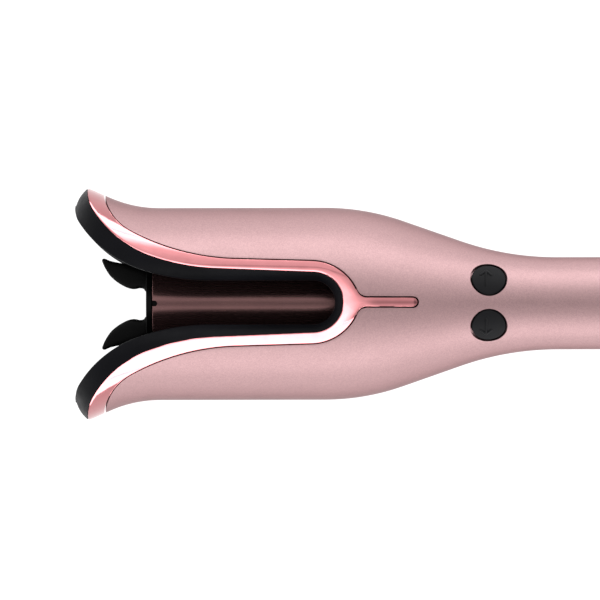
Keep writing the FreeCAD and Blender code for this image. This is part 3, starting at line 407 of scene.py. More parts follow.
def exact_normals(piece, radius_of, low_x, high_x, step=0.25, off=0.02, aligned=0.985):
    """Shades a turned surface by its true normal, so that cut faces don't disturb its reflections.

    It applies between two x, no further than off from the surface, where the cosine between the face's own
    normal and the true one is above aligned. The slope is measured over a step to each side."""
    mesh = piece.data
    corners = read(mesh.loops, "vertex_index", 1, int)[:, 0]
    points = read(mesh.vertices, "co", 3)[corners] / MM
    totals = read(mesh.polygons, "loop_total", 1, int)[:, 0]
    flat = np.repeat(read(mesh.polygons, "normal", 3), totals, axis=0)
    r = np.hypot(points[:, 1], points[:, 2])
    slope = (radius_of(points[:, 0] + step) - radius_of(points[:, 0] - step)) / (2 * step)
    true = np.stack([-slope, points[:, 1] / r, points[:, 2] / r], 1)
    true /= np.linalg.norm(true, axis=1)[:, None]
    fits = (np.abs(r - radius_of(points[:, 0])) < off) & ((true * flat).sum(1) > aligned)
    fits &= (points[:, 0] > low_x) & (points[:, 0] < high_x)
    normals = np.where(fits[:, None], true, 0.0)
    mesh.normals_split_custom_set([Vector(n) for n in normals])


# -------- materials


def new_node(tree, kind, inputs=(), **settings):
    """A shader node with some of its inputs, as (name, value) pairs, and settings given."""
    made = tree.nodes.new("ShaderNode" + kind)
    for key, value in settings.items():
        setattr(made, key, value)
    for key, value in inputs:
        made.inputs[key].default_value = value
    return made


class Look:
    """A node material under construction."""

    def __init__(self, name, **sockets):
        self.material = bpy.data.materials.new(name)
        self.material.use_nodes = True
        self.tree = self.material.node_tree
        self.shader = self.tree.nodes["Principled BSDF"]
        for key, value in sockets.items():
            self.shader.inputs[key.replace("_", " ").title().replace("Ior", "IOR")].default_value = value
        self.place = self.node("TexCoord").outputs["Object"]

    def node(self, kind, *inputs, **settings):
        return new_node(self.tree, kind, inputs, **settings)

    def link(self, source, target):
        self.tree.links.new(source, target)

    def stretched(self, scale):
        mapping = self.node("Mapping", ("Scale", scale))
        self.link(self.place, mapping.inputs["Vector"])
        return mapping.outputs["Vector"]

    def noise(self, scale, detail, place=None):
        made = self.node("TexNoise", ("Scale", scale), ("Detail", detail), ("Roughness", 0.55))
        self.link(place or self.place, made.inputs["Vector"])
        return made.outputs["Fac"]

    def cells(self, scale):
        """A random value in each small cell."""
        made = self.node("TexVoronoi", ("Scale", scale))
        self.link(self.place, made.inputs["Vector"])
        separate = self.node("SeparateColor")
        self.link(made.outputs["Color"], separate.inputs["Color"])
        return separate.outputs["Red"]

    def span(self, value, low, high, start=0.35, end=0.65):
        """The range of a value from start to end, spread from low to high."""
        limits = (("From Min", start), ("From Max", end), ("To Min", low), ("To Max", high))
        made = self.node("MapRange", *limits)
        self.link(value, made.inputs["Value"])
        return made.outputs["Result"]

    def add(self, a, b, kind="ADD"):
        made = self.node("Math", operation=kind)
        for source, target in ((a, made.inputs[0]), (b, made.inputs[1])):
            if isinstance(source, (int, float)):
                target.default_value = source
            else:
                self.link(source, target)
        return made.outputs[0]

    def mixed(self, a, share, b):
        """The sum of a and b, with share of a."""
        return self.add(self.add(a, share, "MULTIPLY"), self.add(b, 1 - share, "MULTIPLY"))

    def colour(self, value, low, high, start=0.35, end=0.65):
        """Colours between two shades, by the range of a value from start to end."""
        mix = self.node("Mix", (6, (*low, 1)), (7, (*high, 1)), data_type="RGBA")
        self.link(self.span(value, 0, 1, start, end), mix.inputs[0])
        self.link(mix.outputs[2], self.shader.inputs["Base Color"])

    def rough(self, source):
        self.link(source, self.shader.inputs["Roughness"])

    def bump(self, height, distance, strength, under=None):
        made = self.node("Bump", ("Strength", strength), ("Distance", distance))
        self.link(height, made.inputs["Height"])
        if under:
            self.link(under, made.inputs["Normal"])
        self.link(made.outputs["Normal"], self.shader.inputs["Normal"])
        return made.outputs["Normal"]

    def edges(self):
        """1 on outer edges, which are a little shinier."""
        return self.span(self.node("NewGeometry").outputs["Pointiness"], 0.0, 1.0, 0.52, 0.6)


def moulded(name, dark, light, rough, grain=9000, depth=0.00002, **sockets):
    """A moulded plastic: slow colour drift, fine grain, slightly shinier edges."""
    look = Look(name, **sockets)
    look.colour(look.noise(35, 3), dark, light, 0.3, 0.7)
    fine = look.noise(grain, 2)
    worn = look.add(look.span(look.noise(260, 5), -0.05, 0.05), look.add(look.edges(), -0.08, "MULTIPLY"))
    look.rough(look.add(worn, rough))
    look.bump(fine, depth, 0.6)
    return look.material


def satin_paint(name, deep, bright, metallic, rough):
    """Satin metallic paint: fine flakes in the colour and the bump, and a faint orange peel."""
    look = Look(name, metallic=metallic, coat_weight=0.25, coat_roughness=0.3)
    flakes = look.cells(4200)
    mottle = look.noise(900, 3)
    tone = look.mixed(flakes, 0.7, mottle)
    look.colour(tone, deep, bright, 0.2, 0.8)
    look.rough(look.span(look.noise(120, 4), rough - 0.02, rough + 0.03))
    peel = look.bump(look.noise(420, 2), 0.00003, 0.12)
    look.bump(flakes, 0.000012, 0.3, peel)
    look.shader.inputs["Specular Tint"].default_value = (0.16, 0.11, 0.11, 1)
    return look.material


def plated(name, deep, bright, rough):
    """Polished plating with faint hairlines and a trace of haze."""
    look = Look(name, metallic=1.0)
    haze = look.noise(180, 5)
    look.colour(haze, deep, bright, 0.3, 0.7)
    hair = look.noise(1400, 3, place=look.stretched((0.06, 1, 1)))
    look.rough(look.add(look.span(haze, 0.0, 0.03), look.span(hair, rough, rough + 0.03)))
    look.bump(look.noise(300, 3), 0.000015, 0.12)
    return look.material


def coated_metal(name, deep, bright, rough, metallic):
    """Satin ceramic coat on a drawn tube: streaks that run along the tool."""
    look = Look(name, metallic=metallic)
    streak = look.noise(2600, 4, place=look.stretched((0.012, 1, 1)))
    drift = look.noise(55, 3)
    tone = look.mixed(streak, 0.6, drift)
    look.colour(tone, deep, bright)
    look.rough(look.span(streak, rough - 0.03, rough + 0.04))
    look.bump(look.add(streak, look.add(look.noise(5000, 2), 0.5, "MULTIPLY")), 0.00001, 0.2)
    return look.material


def machined(name, deep, bright, rough):
    """Bare metal with fine tool marks."""
    look = Look(name, metallic=1.0)
    marks = look.noise(3000, 4, place=look.stretched((1, 0.1, 0.1)))
    look.colour(look.noise(90, 4), deep, bright)
    look.rough(look.span(marks, rough, rough + 0.14))
    look.bump(marks, 0.000008, 0.4)
    return look.material


def grey(value):
    return (value, value, value)


looks = {
    "casing": satin_paint("satin_pink", (0.475, 0.296, 0.304), (0.572, 0.361, 0.371), 0.82, 0.36),
    "trim": plated("rose_gold", (0.445, 0.170, 0.180), (0.495, 0.195, 0.205), 0.05),
    "liner": moulded("matt_black", (0.003, 0.003, 0.004), (0.006, 0.006, 0.008), 0.5,
                     specular_ior_level=0.08),
    "end_cap": moulded("end_black", (0.014, 0.014, 0.015), (0.022, 0.022, 0.024), 0.42),
    "gland": moulded("gland_rubber", grey(0.012), grey(0.02), 0.6, 5000, 0.00003),
    "barrel": coated_metal("barrel_coat", (0.245, 0.125, 0.125), (0.30, 0.155, 0.15), 0.24, 0.9),
    "hook_cap": moulded("hook_black", grey(0.002), grey(0.004), 0.4, specular_ior_level=0.12),
    "button": moulded("button_black", (0.005, 0.005, 0.006), (0.009, 0.009, 0.011), 0.4, 12000, 0.000012,
                      specular_ior_level=0.16),
    "window": moulded("smoked_lens", (0.004, 0.004, 0.005), (0.008, 0.008, 0.01), 0.08, 3000, 0.000002),
    "inner_plastic": moulded("inner_plastic", (0.03, 0.03, 0.032), (0.06, 0.06, 0.064), 0.5),
    "pale_plastic": moulded("acetal", (0.62, 0.60, 0.54), (0.74, 0.72, 0.66), 0.45),
    "steel": machined("steel", (0.42, 0.42, 0.43), (0.6, 0.6, 0.61), 0.24),
    "brass": machined("brass", (0.62, 0.42, 0.18), (0.8, 0.58, 0.28), 0.25),
    "copper": machined("copper", (0.7, 0.33, 0.2), (0.86, 0.46, 0.3), 0.2),
    "carbon": moulded("carbon", grey(0.012), grey(0.03), 0.6, 6000, 0.00004),
    "aluminium": machined("aluminium", (0.6, 0.6, 0.62), (0.75, 0.75, 0.77), 0.3),
    "ceramic": moulded("ceramic", (0.6, 0.57, 0.5), (0.74, 0.72, 0.66), 0.6, 4000, 0.00003),
    "board": moulded("solder_mask", (0.012, 0.1, 0.035), (0.02, 0.15, 0.06), 0.35, 3000, 0.00002),
    "electronics": moulded("package_black", (0.02, 0.02, 0.022), (0.035, 0.035, 0.04), 0.45),
    "wire": moulded("insulation", (0.32, 0.02, 0.015), (0.48, 0.04, 0.03), 0.45, 4000, 0.00002),
    "foot": moulded("foot_rubber", grey(0.016), grey(0.028), 0.6, 5000, 0.00004),
    "damper": moulded("damper_rubber", grey(0.02), grey(0.035), 0.65, 4000, 0.00004),
}


# -------- casing

WALL = 2.2
CASING_END, BORE = 10.0, 9.3  # x of the handle's end face, and the radius of its bore
END_FACE = [(CASING_END, BORE), (CASING_END, 12.2), (10.05, 12.75), (10.18, 13.15)]  # x, radius
COLUMNS = 44  # from the slot or the middle to the parting line
SEAM = 0.6  # gap between casing and trim
SIDE_EDGE = ((0.30, 0.0), (0.12, 0.045), (0.0, 0.2))  # from the parting line: distance, depth
SLOT_EDGE = ((0.10, 0.0), (0.04, 0.015), (0.01, 0.05), (0.0, 0.12))  # from the slot's edge: distance, depth
TAIL_HALF, TAIL_END, TAIL_ROOT, TAIL_ROOT_HALF = 2.2, 170.2, 189.5, 5.0


def tail_outline(half, end):
    """The tail of the front trim, from its round end to the point where it meets the band."""
    root_x = TRIM_NOSE_X + TRIM_NOSE_ARC - math.sqrt(TRIM_NOSE_ARC**2 - TAIL_ROOT_HALF**2)
    fillet = level_arc(root_x - TAIL_ROOT, TAIL_ROOT_HALF - TAIL_HALF)
    shift = half - TAIL_HALF
    return [
        arc((end, 0), (end + half, half), half, -1),
        line((end + half, half), (TAIL_ROOT, half)),
        arc((TAIL_ROOT, half), (root_x, TAIL_ROOT_HALF + shift), fillet, 1),
    ], root_x


def casing_rail(front):
    """The casing's edge along the slot, which at the front includes the trim's tail."""
    if not front:
        return rail_of(TRIM, casing_radius)
    tail, root_x = tail_outline(TAIL_HALF, TAIL_END)
    bend = np.concatenate([[(root_x, TAIL_ROOT_HALF)], TRIM[0][TRIM[0][:, 1] > TAIL_ROOT_HALF]])
    return rail_of(tail + [bend] + TRIM[1:], casing_radius, (10, 20, 10, 24) + COUNTS[1:])


def casing_half(front):
    rail = casing_rail(front)
    edges = [inward(rail, offset) for offset, _ in SLOT_EDGE]
    # Rows ahead of the slot, as (x, angle, radius): the rounded end, then the handle.
    fine = np.concatenate([np.linspace(10.35, 26, 26), np.arange(28, 118, 2.5),
                           np.arange(118, edges[0][0, 0] - 0.3, 1.2)])
    rows = np.array([(x, 0.0, r) for x, r in END_FACE] + [(x, 0.0, casing_radius(x)) for x in fine])
    side_x = np.concatenate([rows[:, 0], rail[:, 0]])
    side_r = np.concatenate([rows[:, 2], casing_radius(rail[:, 0])])
    on_face = (np.arange(len(side_x)) < len(END_FACE))[:, None]

    def surface(depth, slot_edge, side_gap):
        """The skin at a depth, from the middle or the slot's edge to a gap short of the parting line."""
        head = np.concatenate([rows, slot_edge])
        share = np.linspace(0, 1, COLUMNS)[None, :]
        stop = QUARTER - side_gap / side_r
        x = spread(head[:, 0], side_x, share)
        angle = spread(np.minimum(head[:, 1], stop), stop, share)
        radius = np.where(on_face, side_r[:, None], casing_radius(x))
        x = np.where(on_face, x + depth, np.maximum(x, CASING_END + depth))
        return polar(x, angle, np.maximum(radius - depth, BORE))

    # The inner surface starts at the slot's very edge, the outer one at the rounding's start.
    outer, inner = surface(0.0, edges[0], SIDE_EDGE[0][0]), surface(WALL, rail, 0.0)
    form = Form().grid(outer).grid(inner)
    bands = [outer[len(rows):, 0]]
    for (_, depth), curve in zip(SLOT_EDGE[1:], edges[1:]):
        bands.append(polar(curve[:, 0], curve[:, 1], casing_radius(curve[:, 0]) - depth))
    bands.append(inner[len(rows):, 0])
    form.grid(np.stack(bands, 1))
    sides = [outer[:, -1]]
    r = np.linalg.norm(outer[:, -1, 1:], axis=1)
    for distance, depth in SIDE_EDGE[1:]:
        sides.append(polar(outer[:, -1, 0], QUARTER - distance / r, r - depth))
    sides.append(inner[:, -1])
    form.grid(np.stack(sides, 1))
    form.grid(np.stack([outer[0], inner[0]], 1))
    return form.both_petals(front)


# -------- buttons and their holes


def button_point(x0, tilt, u, v, height):
    """A point u along the tool, v across it and height out from the axis, tilted about the axis."""
    c, s = math.cos(math.radians(tilt)), math.sin(math.radians(tilt))
    u, v, height = np.broadcast_arrays(u, v, height)
    return np.stack([x0 + u, v * c - height * s, v * s + height * c], -1)


ACROSS = 0.95  # the arrow buttons are slightly narrower across the tool than along it
GAP = 0.28  # round a button
HOLE_CHAMFER = 0.34
CUT_ABOVE, CUT_DEPTH = 1.5, 5.0  # how far a cutter stands out of the surface and reaches below it
BUTTON_EDGE, MARK_RISE, SKIRT = 0.45, 0.38, 2.6  # rounding, height of the mark, depth of the sides


def squared(x0, tilt, u, v):
    """Slides an outline sideways with u, so that a button on the sloping neck looks upright from above."""
    slope = (casing_radius(x0 + 1) - casing_radius(x0 - 1)) / 2
    return v + 0.8 * slope * math.tan(math.radians(tilt)) * u


def casing_height(x0, u, v, lift=0.0):
    return np.sqrt((casing_radius(x0 + u) + lift) ** 2 - v**2)


def hole_cutter(x0, tilt, radius):
    """A closed cutter whose chamfer follows the casing's surface."""
    angles = circle(96)
    rings = []
    across = ACROSS if tilt else 1.0
    for extra, lift in ((HOLE_CHAMFER + CUT_ABOVE, CUT_ABOVE), (HOLE_CHAMFER, 0.0),
                        (HOLE_CHAMFER * 0.4, -0.14), (0.0, -HOLE_CHAMFER), (0.0, -CUT_DEPTH)):
        u, v = (radius + extra) * np.cos(angles), (radius * across + extra) * np.sin(angles)
        v = squared(x0, tilt, u, v)
        rings.append(button_point(x0, tilt, u, v, casing_height(x0, u, v, lift)))
    return capped(rings).object("hole_cutter")


def segment_distance(u, v, a, b):
    """Distance from each (u, v) to the segment from a to b."""
    d = np.subtract(b, a)
    u, v = u - a[0], v - a[1]
    t = np.clip((u * d[0] + v * d[1]) / (d @ d), 0, 1)
    return np.hypot(u - t * d[0], v - t * d[1])


def disc_square(count):
    """A square grid mapped onto the unit disc."""
    a = np.linspace(-1, 1, count)
    p, q = np.meshgrid(a, a, indexing="ij")
    swap = np.abs(p) > np.abs(q)
    big, small = np.where(swap, p, q), np.where(swap, q, p)
    angle = math.pi / 4 * np.divide(small, big, out=np.zeros_like(big), where=big != 0)
    c, s = big * np.cos(angle), big * np.sin(angle)
    return np.where(swap, c, s), np.where(swap, s, c)


def button(name, x0, tilt, radius, mark, width, proud, dome, count):
    """A domed button with a raised mark, whose top follows the casing."""
    u, v = disc_square(count)
    u, v = u * radius, v * radius
    r = np.hypot(u, v) / radius
    near = (1 - r) * radius
    lower = BUTTON_EDGE - np.sqrt(np.maximum(BUTTON_EDGE**2 - (BUTTON_EDGE - near) ** 2, 0))
    fall = np.where(near < BUTTON_EDGE, lower, 0)
    raised = MARK_RISE * (1 - smoothstep(width * 0.6, width * 1.2, mark(u, v)))
    v = squared(x0, tilt, u, v * (ACROSS if tilt else 1.0))
    height = casing_height(x0, u, v) + proud + dome * (1 - r**2) - fall + raised
    rim = [(0, slice(None)), (slice(None), -1), (-1, slice(None, None, -1)), (slice(None, None, -1), 0)]
    ring_u, ring_v, top = (np.concatenate([values[side][:-1] for side in rim]) for values in (u, v, height))
    skirt = [button_point(x0, tilt, ring_u, ring_v, level) for level in (top, top * 0 + top.min() - SKIRT)]
    form = Form().grid(button_point(x0, tilt, u, v, height)).grid(skirt, closed=True)
    return form.cap(skirt[1]).object(name)


def strokes(*bars, sense=1):
    """Distance to the nearest of some segments; a sense of -1 mirrors them across the tool."""
    def distance(u, v):
        return np.minimum.reduce([segment_distance(u, v * sense, a, b) for a, b in bars])
    return distance


def power_mark(u, v):
    r, angle = np.hypot(u, v), np.arctan2(v, u)
    ring = np.where(np.abs(angle) > math.radians(35), np.abs(r - 1.7), 9.0)
    return np.minimum(ring, segment_distance(u, v, (0.9, 0), (2.3, 0)))


ARROW = (((1.0, -3.0), (1.0, 3.5)), ((1.0, 3.5), (3.0, 1.6)), ((1.0, 3.5), (-1.0, 1.6)))
BAR_ALONG, BAR_ACROSS = ((-1.3, 0), (1.3, 0)), ((0, -1.3), (0, 1.3))  # the minus has only the second
ARROW_X, ARROW_TILT, ARROW_R = 144.0, 25.8, 6.4
BUTTONS = [
    # name, body, x, tilt, radius, mark, line width, proud, dome, grid
    ("right_button", "right", ARROW_X, ARROW_TILT, ARROW_R, strokes(*ARROW, sense=-1), 0.42, -0.16, 0.22, 120),
    ("left_button", "left", ARROW_X, -ARROW_TILT, ARROW_R, strokes(*ARROW), 0.42, -0.16, 0.22, 120),
    ("power_button", "power", 50, 0, 4.4, power_mark, 0.26, -0.2, 0.15, 80),
    ("plus_button", "plus", 39, 0, 3.5, strokes(BAR_ALONG, BAR_ACROSS), 0.26, -0.2, 0.12, 70),
    ("minus_button", "minus", 29, 0, 3.5, strokes(BAR_ACROSS), 0.26, -0.2, 0.12, 70),
]


def build_casing():
    for front, name, node in ((True, "front_casing", "front_shell"), (False, "rear_casing", "rear_shell")):
        piece = casing_half(front).object(name)
        if front:
            cutters = [hole_cutter(x, tilt, radius + GAP) for _, _, x, tilt, radius, *_ in BUTTONS]
            cutters.append(window_cutter())
        else:
            cutters = [screw_cutter(x, y) for x, y in SCREWS]
        boolean(piece, *cutters)
        finish_piece(piece, "housing", "casing", node)
        exact_normals(piece, casing_radius, 11, 290)


def build_buttons():
    for name, body, *shape in BUTTONS:
        finish_piece(button("cap_of_" + name, *shape), body, "button", name, angle=40)


# -------- display window and screws

WINDOW_X, WINDOW_HALF, WINDOW_CORNER = 70.0, np.array([9.0, 6.0]), 1.6
WINDOW_GAP = 0.18


def rounded_rectangle(half, corner, count=12):
    quarter = np.linspace(0, QUARTER, count)
    points = []
    for k, sides in enumerate(((1, 1), (-1, 1), (-1, -1), (1, -1))):
        a = quarter + k * QUARTER
        points.append(np.array(sides) * (half - corner) + corner * np.stack([np.cos(a), np.sin(a)], 1))
    return np.concatenate(points)


def on_window(flat, lift):
    u, v = flat.T
    return button_point(WINDOW_X, 0, u, v, casing_height(WINDOW_X, u, v, lift))


def window_rings(half, corner, levels):
    """Rings of a rounded rectangle on the casing; each level is (growth, lift)."""
    return [on_window(rounded_rectangle(half + growth, corner + max(growth, -corner * 0.8)), lift)
            for growth, lift in levels]


def window_cutter():
    levels = ((1.6, CUT_ABOVE), (0.28, 0.0), (0.1, -0.14), (0.0, -0.3), (0.0, -CUT_DEPTH))
    return capped(window_rings(WINDOW_HALF, WINDOW_CORNER, levels)).object("window_cutter")


def build_window():
    """A smoked lens, flush with the casing, with a rounded edge."""
    half = WINDOW_HALF - WINDOW_GAP
    inset, lift = 0.35, -0.12  # where the flat top starts
    levels = [(0, -2.4), (0, -0.5), (-0.05, -0.3), (-0.16, -0.18), (-inset, lift)]
    rings = window_rings(half, 1.45, levels)
    base = rounded_rectangle(half - inset, 1.2)
    top = [rings[-1]] + [on_window(base * share, lift) for share in np.linspace(1, 0.02, 14)[1:]]
    form = Form().grid(rings, closed=True).grid(top, closed=True).cap(top[-1]).cap(rings[0])
    finish_piece(form.object("display_lens"), "housing", "window", "display_window", angle=50)


SCREWS = ((83.2, 11.8), (83.2, -11.8), (168.0, 19.0), (168.0, -19.0))
SCREW_R = 2.1


def screw_cutter(x, y):
    """A counterbore with a small rounding where it breaks the rear surface."""
    angles = circle(64)
    rings = []
    for extra, lift in ((1.7, CUT_ABOVE), (0.22, 0.0), (0.08, -0.1), (0.0, -0.24)):
        px, py = x + (SCREW_R + extra) * np.cos(angles), y + (SCREW_R + extra) * np.sin(angles)
        rings.append(np.stack([px, py, -np.sqrt((casing_radius(px) + lift) ** 2 - py**2)], 1))
    deep = rings[-1].copy()
    deep[:, 2] = -(5.0 if x < 100 else 8.0)  # the two in the handle, and the two in the neck
    return capped(rings + [deep]).object("screw_cutter")


# -------- trim

TRIM_RISE, TRIM_DEPTH = 0.01, 2.6
CROWN, CROWN_REACH = 0.14, 1.1  # how much higher the middle is, and how far from an edge it rises
TRIM_CORNERS = (0.50, 0.10)  # radii of the edges towards the lip and towards the casing


def trim_height(plan, edges):
    """Height of the trim above the casing, by distance from its two edges."""
    fall, nearest = 0.0, 9.0
    for edge, corner in zip(edges, TRIM_CORNERS):
        aside = plan[:, None] - edge[None]
        gap = np.hypot(aside[..., 0], aside[..., 1]).min(1)
        nearest = np.minimum(nearest, gap)
        short = np.clip(corner - gap, 0, corner)
        fall = np.maximum(fall, corner - np.sqrt(corner**2 - short**2))
    return TRIM_RISE + CROWN * (1 - np.exp(-nearest / CROWN_REACH)) - 0.75 * fall


def trim_half(front):
    inner = rail_of(LIP, casing_radius)
    outer = inward(rail_of(TRIM, casing_radius), -SEAM)
    tail_rows = 0
    if front:
        tail, _ = tail_outline(TAIL_HALF - SEAM, TAIL_END + SEAM)
        rail = on_surface(chain(*[resample(p, n) for p, n in zip(tail, (10, 34, 12))]), casing_radius)
        tail_rows = len(rail)
        # The band's round end starts where the tail's fillet meets it.
        skip = int(np.argmax(outer[:, 1] * outer[:, 2] > rail[-1, 1] * rail[-1, 2] + 0.15))
        outer = np.concatenate([rail, outer[skip:]])
        share = smoothstep(TAIL_ROOT - 4, rail[-1, 0], rail[:, 0])
        centre_x = rail[:, 0] + (inner[0, 0] - rail[-1, 0]) * share
        centre = np.stack([centre_x, 0 * centre_x, casing_radius(centre_x)], 1)
        start = resample(inner[: COUNTS[0]], COUNTS[0] - skip + 1)[1:]
        inner = np.concatenate([centre, start, inner[COUNTS[0]:]])
    assert len(inner) == len(outer), (len(inner), len(outer))
    share = np.concatenate([[0, 0.015, 0.04, 0.08, 0.13], np.linspace(0.2, 0.8, 13),
                            [0.87, 0.92, 0.96, 0.985, 1]])[None, :]
    x, angle = (spread(inner[:, k], outer[:, k], share) for k in (0, 1))
    radius = casing_radius(x)
    plan = np.stack([x, angle * radius], -1).reshape(-1, 2)
    edges = resample(unrolled(inner[tail_rows:]), 700), resample(unrolled(outer), 900)
    top = polar(x, angle, radius + trim_height(plan, edges).reshape(x.shape))
    bottom = polar(x, angle, radius - TRIM_DEPTH)
    form = Form().grid(top).grid(bottom)
    # The walls; the tail has none along the middle.
    first = max(tail_rows - 1, 0)
    for wall in ((top[:, -1], bottom[:, -1]), (top[first:, 0], bottom[first:, 0]), (top[-1], bottom[-1])):
        form.grid(np.stack(wall, 1))
    return form.both_petals(front)


# -------- lip and chamber

LIP_SIDE = ((0.0, 2.5), (0.0, 0.62), (-0.10, 0.36), (-0.34, 0.22))  # beside the trim: offset, depth
LIP_ROUND = 0.7  # of the lip's inner edge
CHAMBER_BACK, CHAMBER_WALL = 190.0, 1.6
TIP_TURN, TIP_ROOM = 296.9, 2.3  # the petal's corner is round: from this x it approaches its end smoothly


def liner_half(front):
    outer = rail_of(LIP, casing_radius)
    mouth = rail_of(MOUTH, lip_edge_radius)
    past = np.maximum(mouth[:, 0] - TIP_TURN, 0)
    mouth[:, 0] = np.minimum(mouth[:, 0], TIP_TURN) + TIP_ROOM * (1 - np.exp(-past / TIP_ROOM))
    surface = []
    for offset, depth in LIP_SIDE:
        rail = inward(outer, offset - 0.05)
        rail[:, 2] = casing_radius(rail[:, 0]) - depth
        surface.append(solid_points(rail))
    start, end = surface[-1], solid_points(mouth)
    floor = on_surface(np.stack([mouth[:, 0], end[:, 1]], 1), chamber_radius)
    floor[-1, 1] = QUARTER
    wall = solid_points(floor)
    # The face between the two edges bulges slightly, and its inner edge is rounded.
    drop = np.linalg.norm(wall - end, axis=1)
    down = (wall - end) / (drop[:, None] + 1e-9)
    along = (start - end) / np.linalg.norm(start - end, axis=1)[:, None]
    size = np.minimum(LIP_ROUND, np.maximum(drop * 0.4, 0.02))[:, None]
    near, below = end + along * size, end + down * size
    tangent = np.gradient(end, axis=0)
    up = np.cross(tangent, along)
    up /= np.linalg.norm(up, axis=1)[:, None] + 1e-9
    up *= np.where((up * start).sum(1) < 0, -1, 1)[:, None]
    for share in np.linspace(0, 1, 9)[1:]:
        bulge = (0.28 + 0.75 * smoothstep(33, 41, end[:, 1:2])) * math.sin(math.pi * share)
        surface.append(start * (1 - share) + near * share + up * bulge)
    surface += [corner_curve(near, end, below, t) for t in np.linspace(0, 1, 6)[1:]]
    for share in (0.5, 1.0):
        surface.append(below * (1 - share) + wall * share)
    for rail_points in surface:
        rail_points[-1, 2] = 0.0
        rail_points[0, 1] = 0.0
    form = Form().grid(np.stack(surface, 1))
    # The chamber's wall, from the bulkhead to the petal tips.
    back = np.linspace(CHAMBER_BACK, floor[0, 0], 14)[:-1]
    begin_x = np.concatenate([back, floor[:, 0]])
    begin_angle = np.concatenate([0 * back, floor[:, 1]])
    share = np.linspace(0, 1, 26)[None, :]
    angle = begin_angle[:, None] * (1 - share) + QUARTER * share
    x = np.repeat(begin_x[:, None], share.size, 1)
    inside, outside = (polar(x, angle, chamber_radius(x) + thickness) for thickness in (0.0, CHAMBER_WALL))
    form.grid(inside).grid(outside)
    # Its two ends, and the hidden side of the lip down to its back.
    lip_back = outside[len(back):, 0]
    for wall in ((inside[0], outside[0]), (inside[:, -1], outside[:, -1]), (surface[0], lip_back)):
        form.grid(np.stack(wall, 1))
    return form.both_petals(front)


def build_slot_pieces():
    """The trim and the lip, each at the front and at the rear."""
    for make, slot, name, angle in ((trim_half, "trim", "band", 50), (liner_half, "liner", "lip", 38)):
        for side in ("front", "rear"):
            piece = make(side == "front").object(f"{side}_{name}")
            finish_piece(piece, "housing", slot, f"{side}_{slot}", angle=angle)


# -------- barrel and hooks

BARREL_START, BARREL_END, BARREL_BORE, BARREL_R = 186.2, 269.6, 11.2, 12.7
NOTCH_DEEP, NOTCH_HALF = 1.9, 1.05


def build_barrel():
    profile = rounded([(BARREL_START, BARREL_BORE), (BARREL_END, BARREL_BORE), (BARREL_END, BARREL_R),
                       (BARREL_START, BARREL_R)], 0.35)
    tube = lathe(densified(profile, 2.0), 192).object("barrel_skin")
    # The notch is a slot with a round end, open at the tube's end, at the front and at the rear.
    centre, past = BARREL_END - NOTCH_DEEP + NOTCH_HALF, 272.5
    outline = [(centre + NOTCH_HALF * math.cos(a), NOTCH_HALF * math.sin(a))
               for a in np.linspace(QUARTER, 3 * QUARTER, 17)]
    outline += [(past, -NOTCH_HALF), (past, NOTCH_HALF)]
    rings = [np.column_stack([outline, np.full(len(outline), z)]) for z in (-15.0, 15.0)]
    boolean(tube, capped(rings).object("notch_cutter"))
    finish_piece(tube, "barrel", "barrel", "barrel_tube")
    exact_normals(tube, lambda x: BARREL_R + 0 * x, 187, 269.2)


# The hooks' two sides, as (x, distance from the axis), from the disc to the tip.
HOOK_INNER = [
    (270.5, 4.6), (272.3, 4.75), (272.75, 5.45), (273.5, 5.85), (274.6, 5.92), (276.0, 5.62), (277.6, 5.68),
    (279.7, 6.35), (282.6, 8.0), (285.4, 10.4), (287.45, 13.5), (288.45, 15.75)]
HOOK_OUTER = [
    (270.5, 12.2), (271.9, 12.6), (273.6, 13.2), (276.0, 14.1), (278.6, 14.8), (280.8, 15.25),
    (282.9, 15.65), (284.3, 15.95), (285.5, 16.25), (286.6, 16.7), (287.5, 17.1), (288.05, 17.05)]


def smooth_line(points, count):
    """A smooth curve through points (Catmull-Rom), at equal steps."""
    p = np.array(points, float)
    p = np.concatenate([[2 * p[0] - p[1]], p, [2 * p[-1] - p[-2]]])
    out = []
    for i in range(1, len(p) - 2):
        for t in np.linspace(0, 1, 12, endpoint=False):
            a, b, c, d = p[i - 1], p[i], p[i + 1], p[i + 2]
            out.append(0.5 * (2 * b + (c - a) * t + (2 * a - 5 * b + 4 * c - d) * t**2
                              + (3 * b - a - 3 * c + d) * t**3))
    out.append(p[-2])
    return resample(np.array(out), count)


def hook(sign):
    """A curled horn with rounded edges that thins towards its tip."""
    count = 56
    inner, outer = smooth_line(HOOK_INNER, count), smooth_line(HOOK_OUTER, count)
    thick = 1.7 - 0.75 * smoothstep(274, 288.5, (inner[:, 0] + outer[:, 0]) / 2)
    angles = circle(48)
    c, s = np.cos(angles), np.sin(angles)
    wide = np.sign(c) * np.abs(c) ** 0.55
    tall = np.sign(s) * np.abs(s) ** 0.62
    rings = []
    for near, far, thickness in zip(inner, outer, thick):
        rings.append(np.column_stack([(near + far) / 2 + wide[:, None] * (near - far) / 2, tall * thickness]))
    # The tip closes over three shrinking rings.
    tip, last = rings[-1].mean(0), rings[-1]
    ahead = np.array([0.32, 0.28, 0])
    for shrink, push in ((0.8, 0.45), (0.45, 0.85), (0.02, 1.0)):
        rings.append(tip + (last - tip) * shrink + ahead * push)
    rings.insert(0, np.repeat(rings[0].mean(0)[None], len(angles), 0))
    form = Form().grid(rings, closed=True)
    return form if sign > 0 else form.mirror(1)


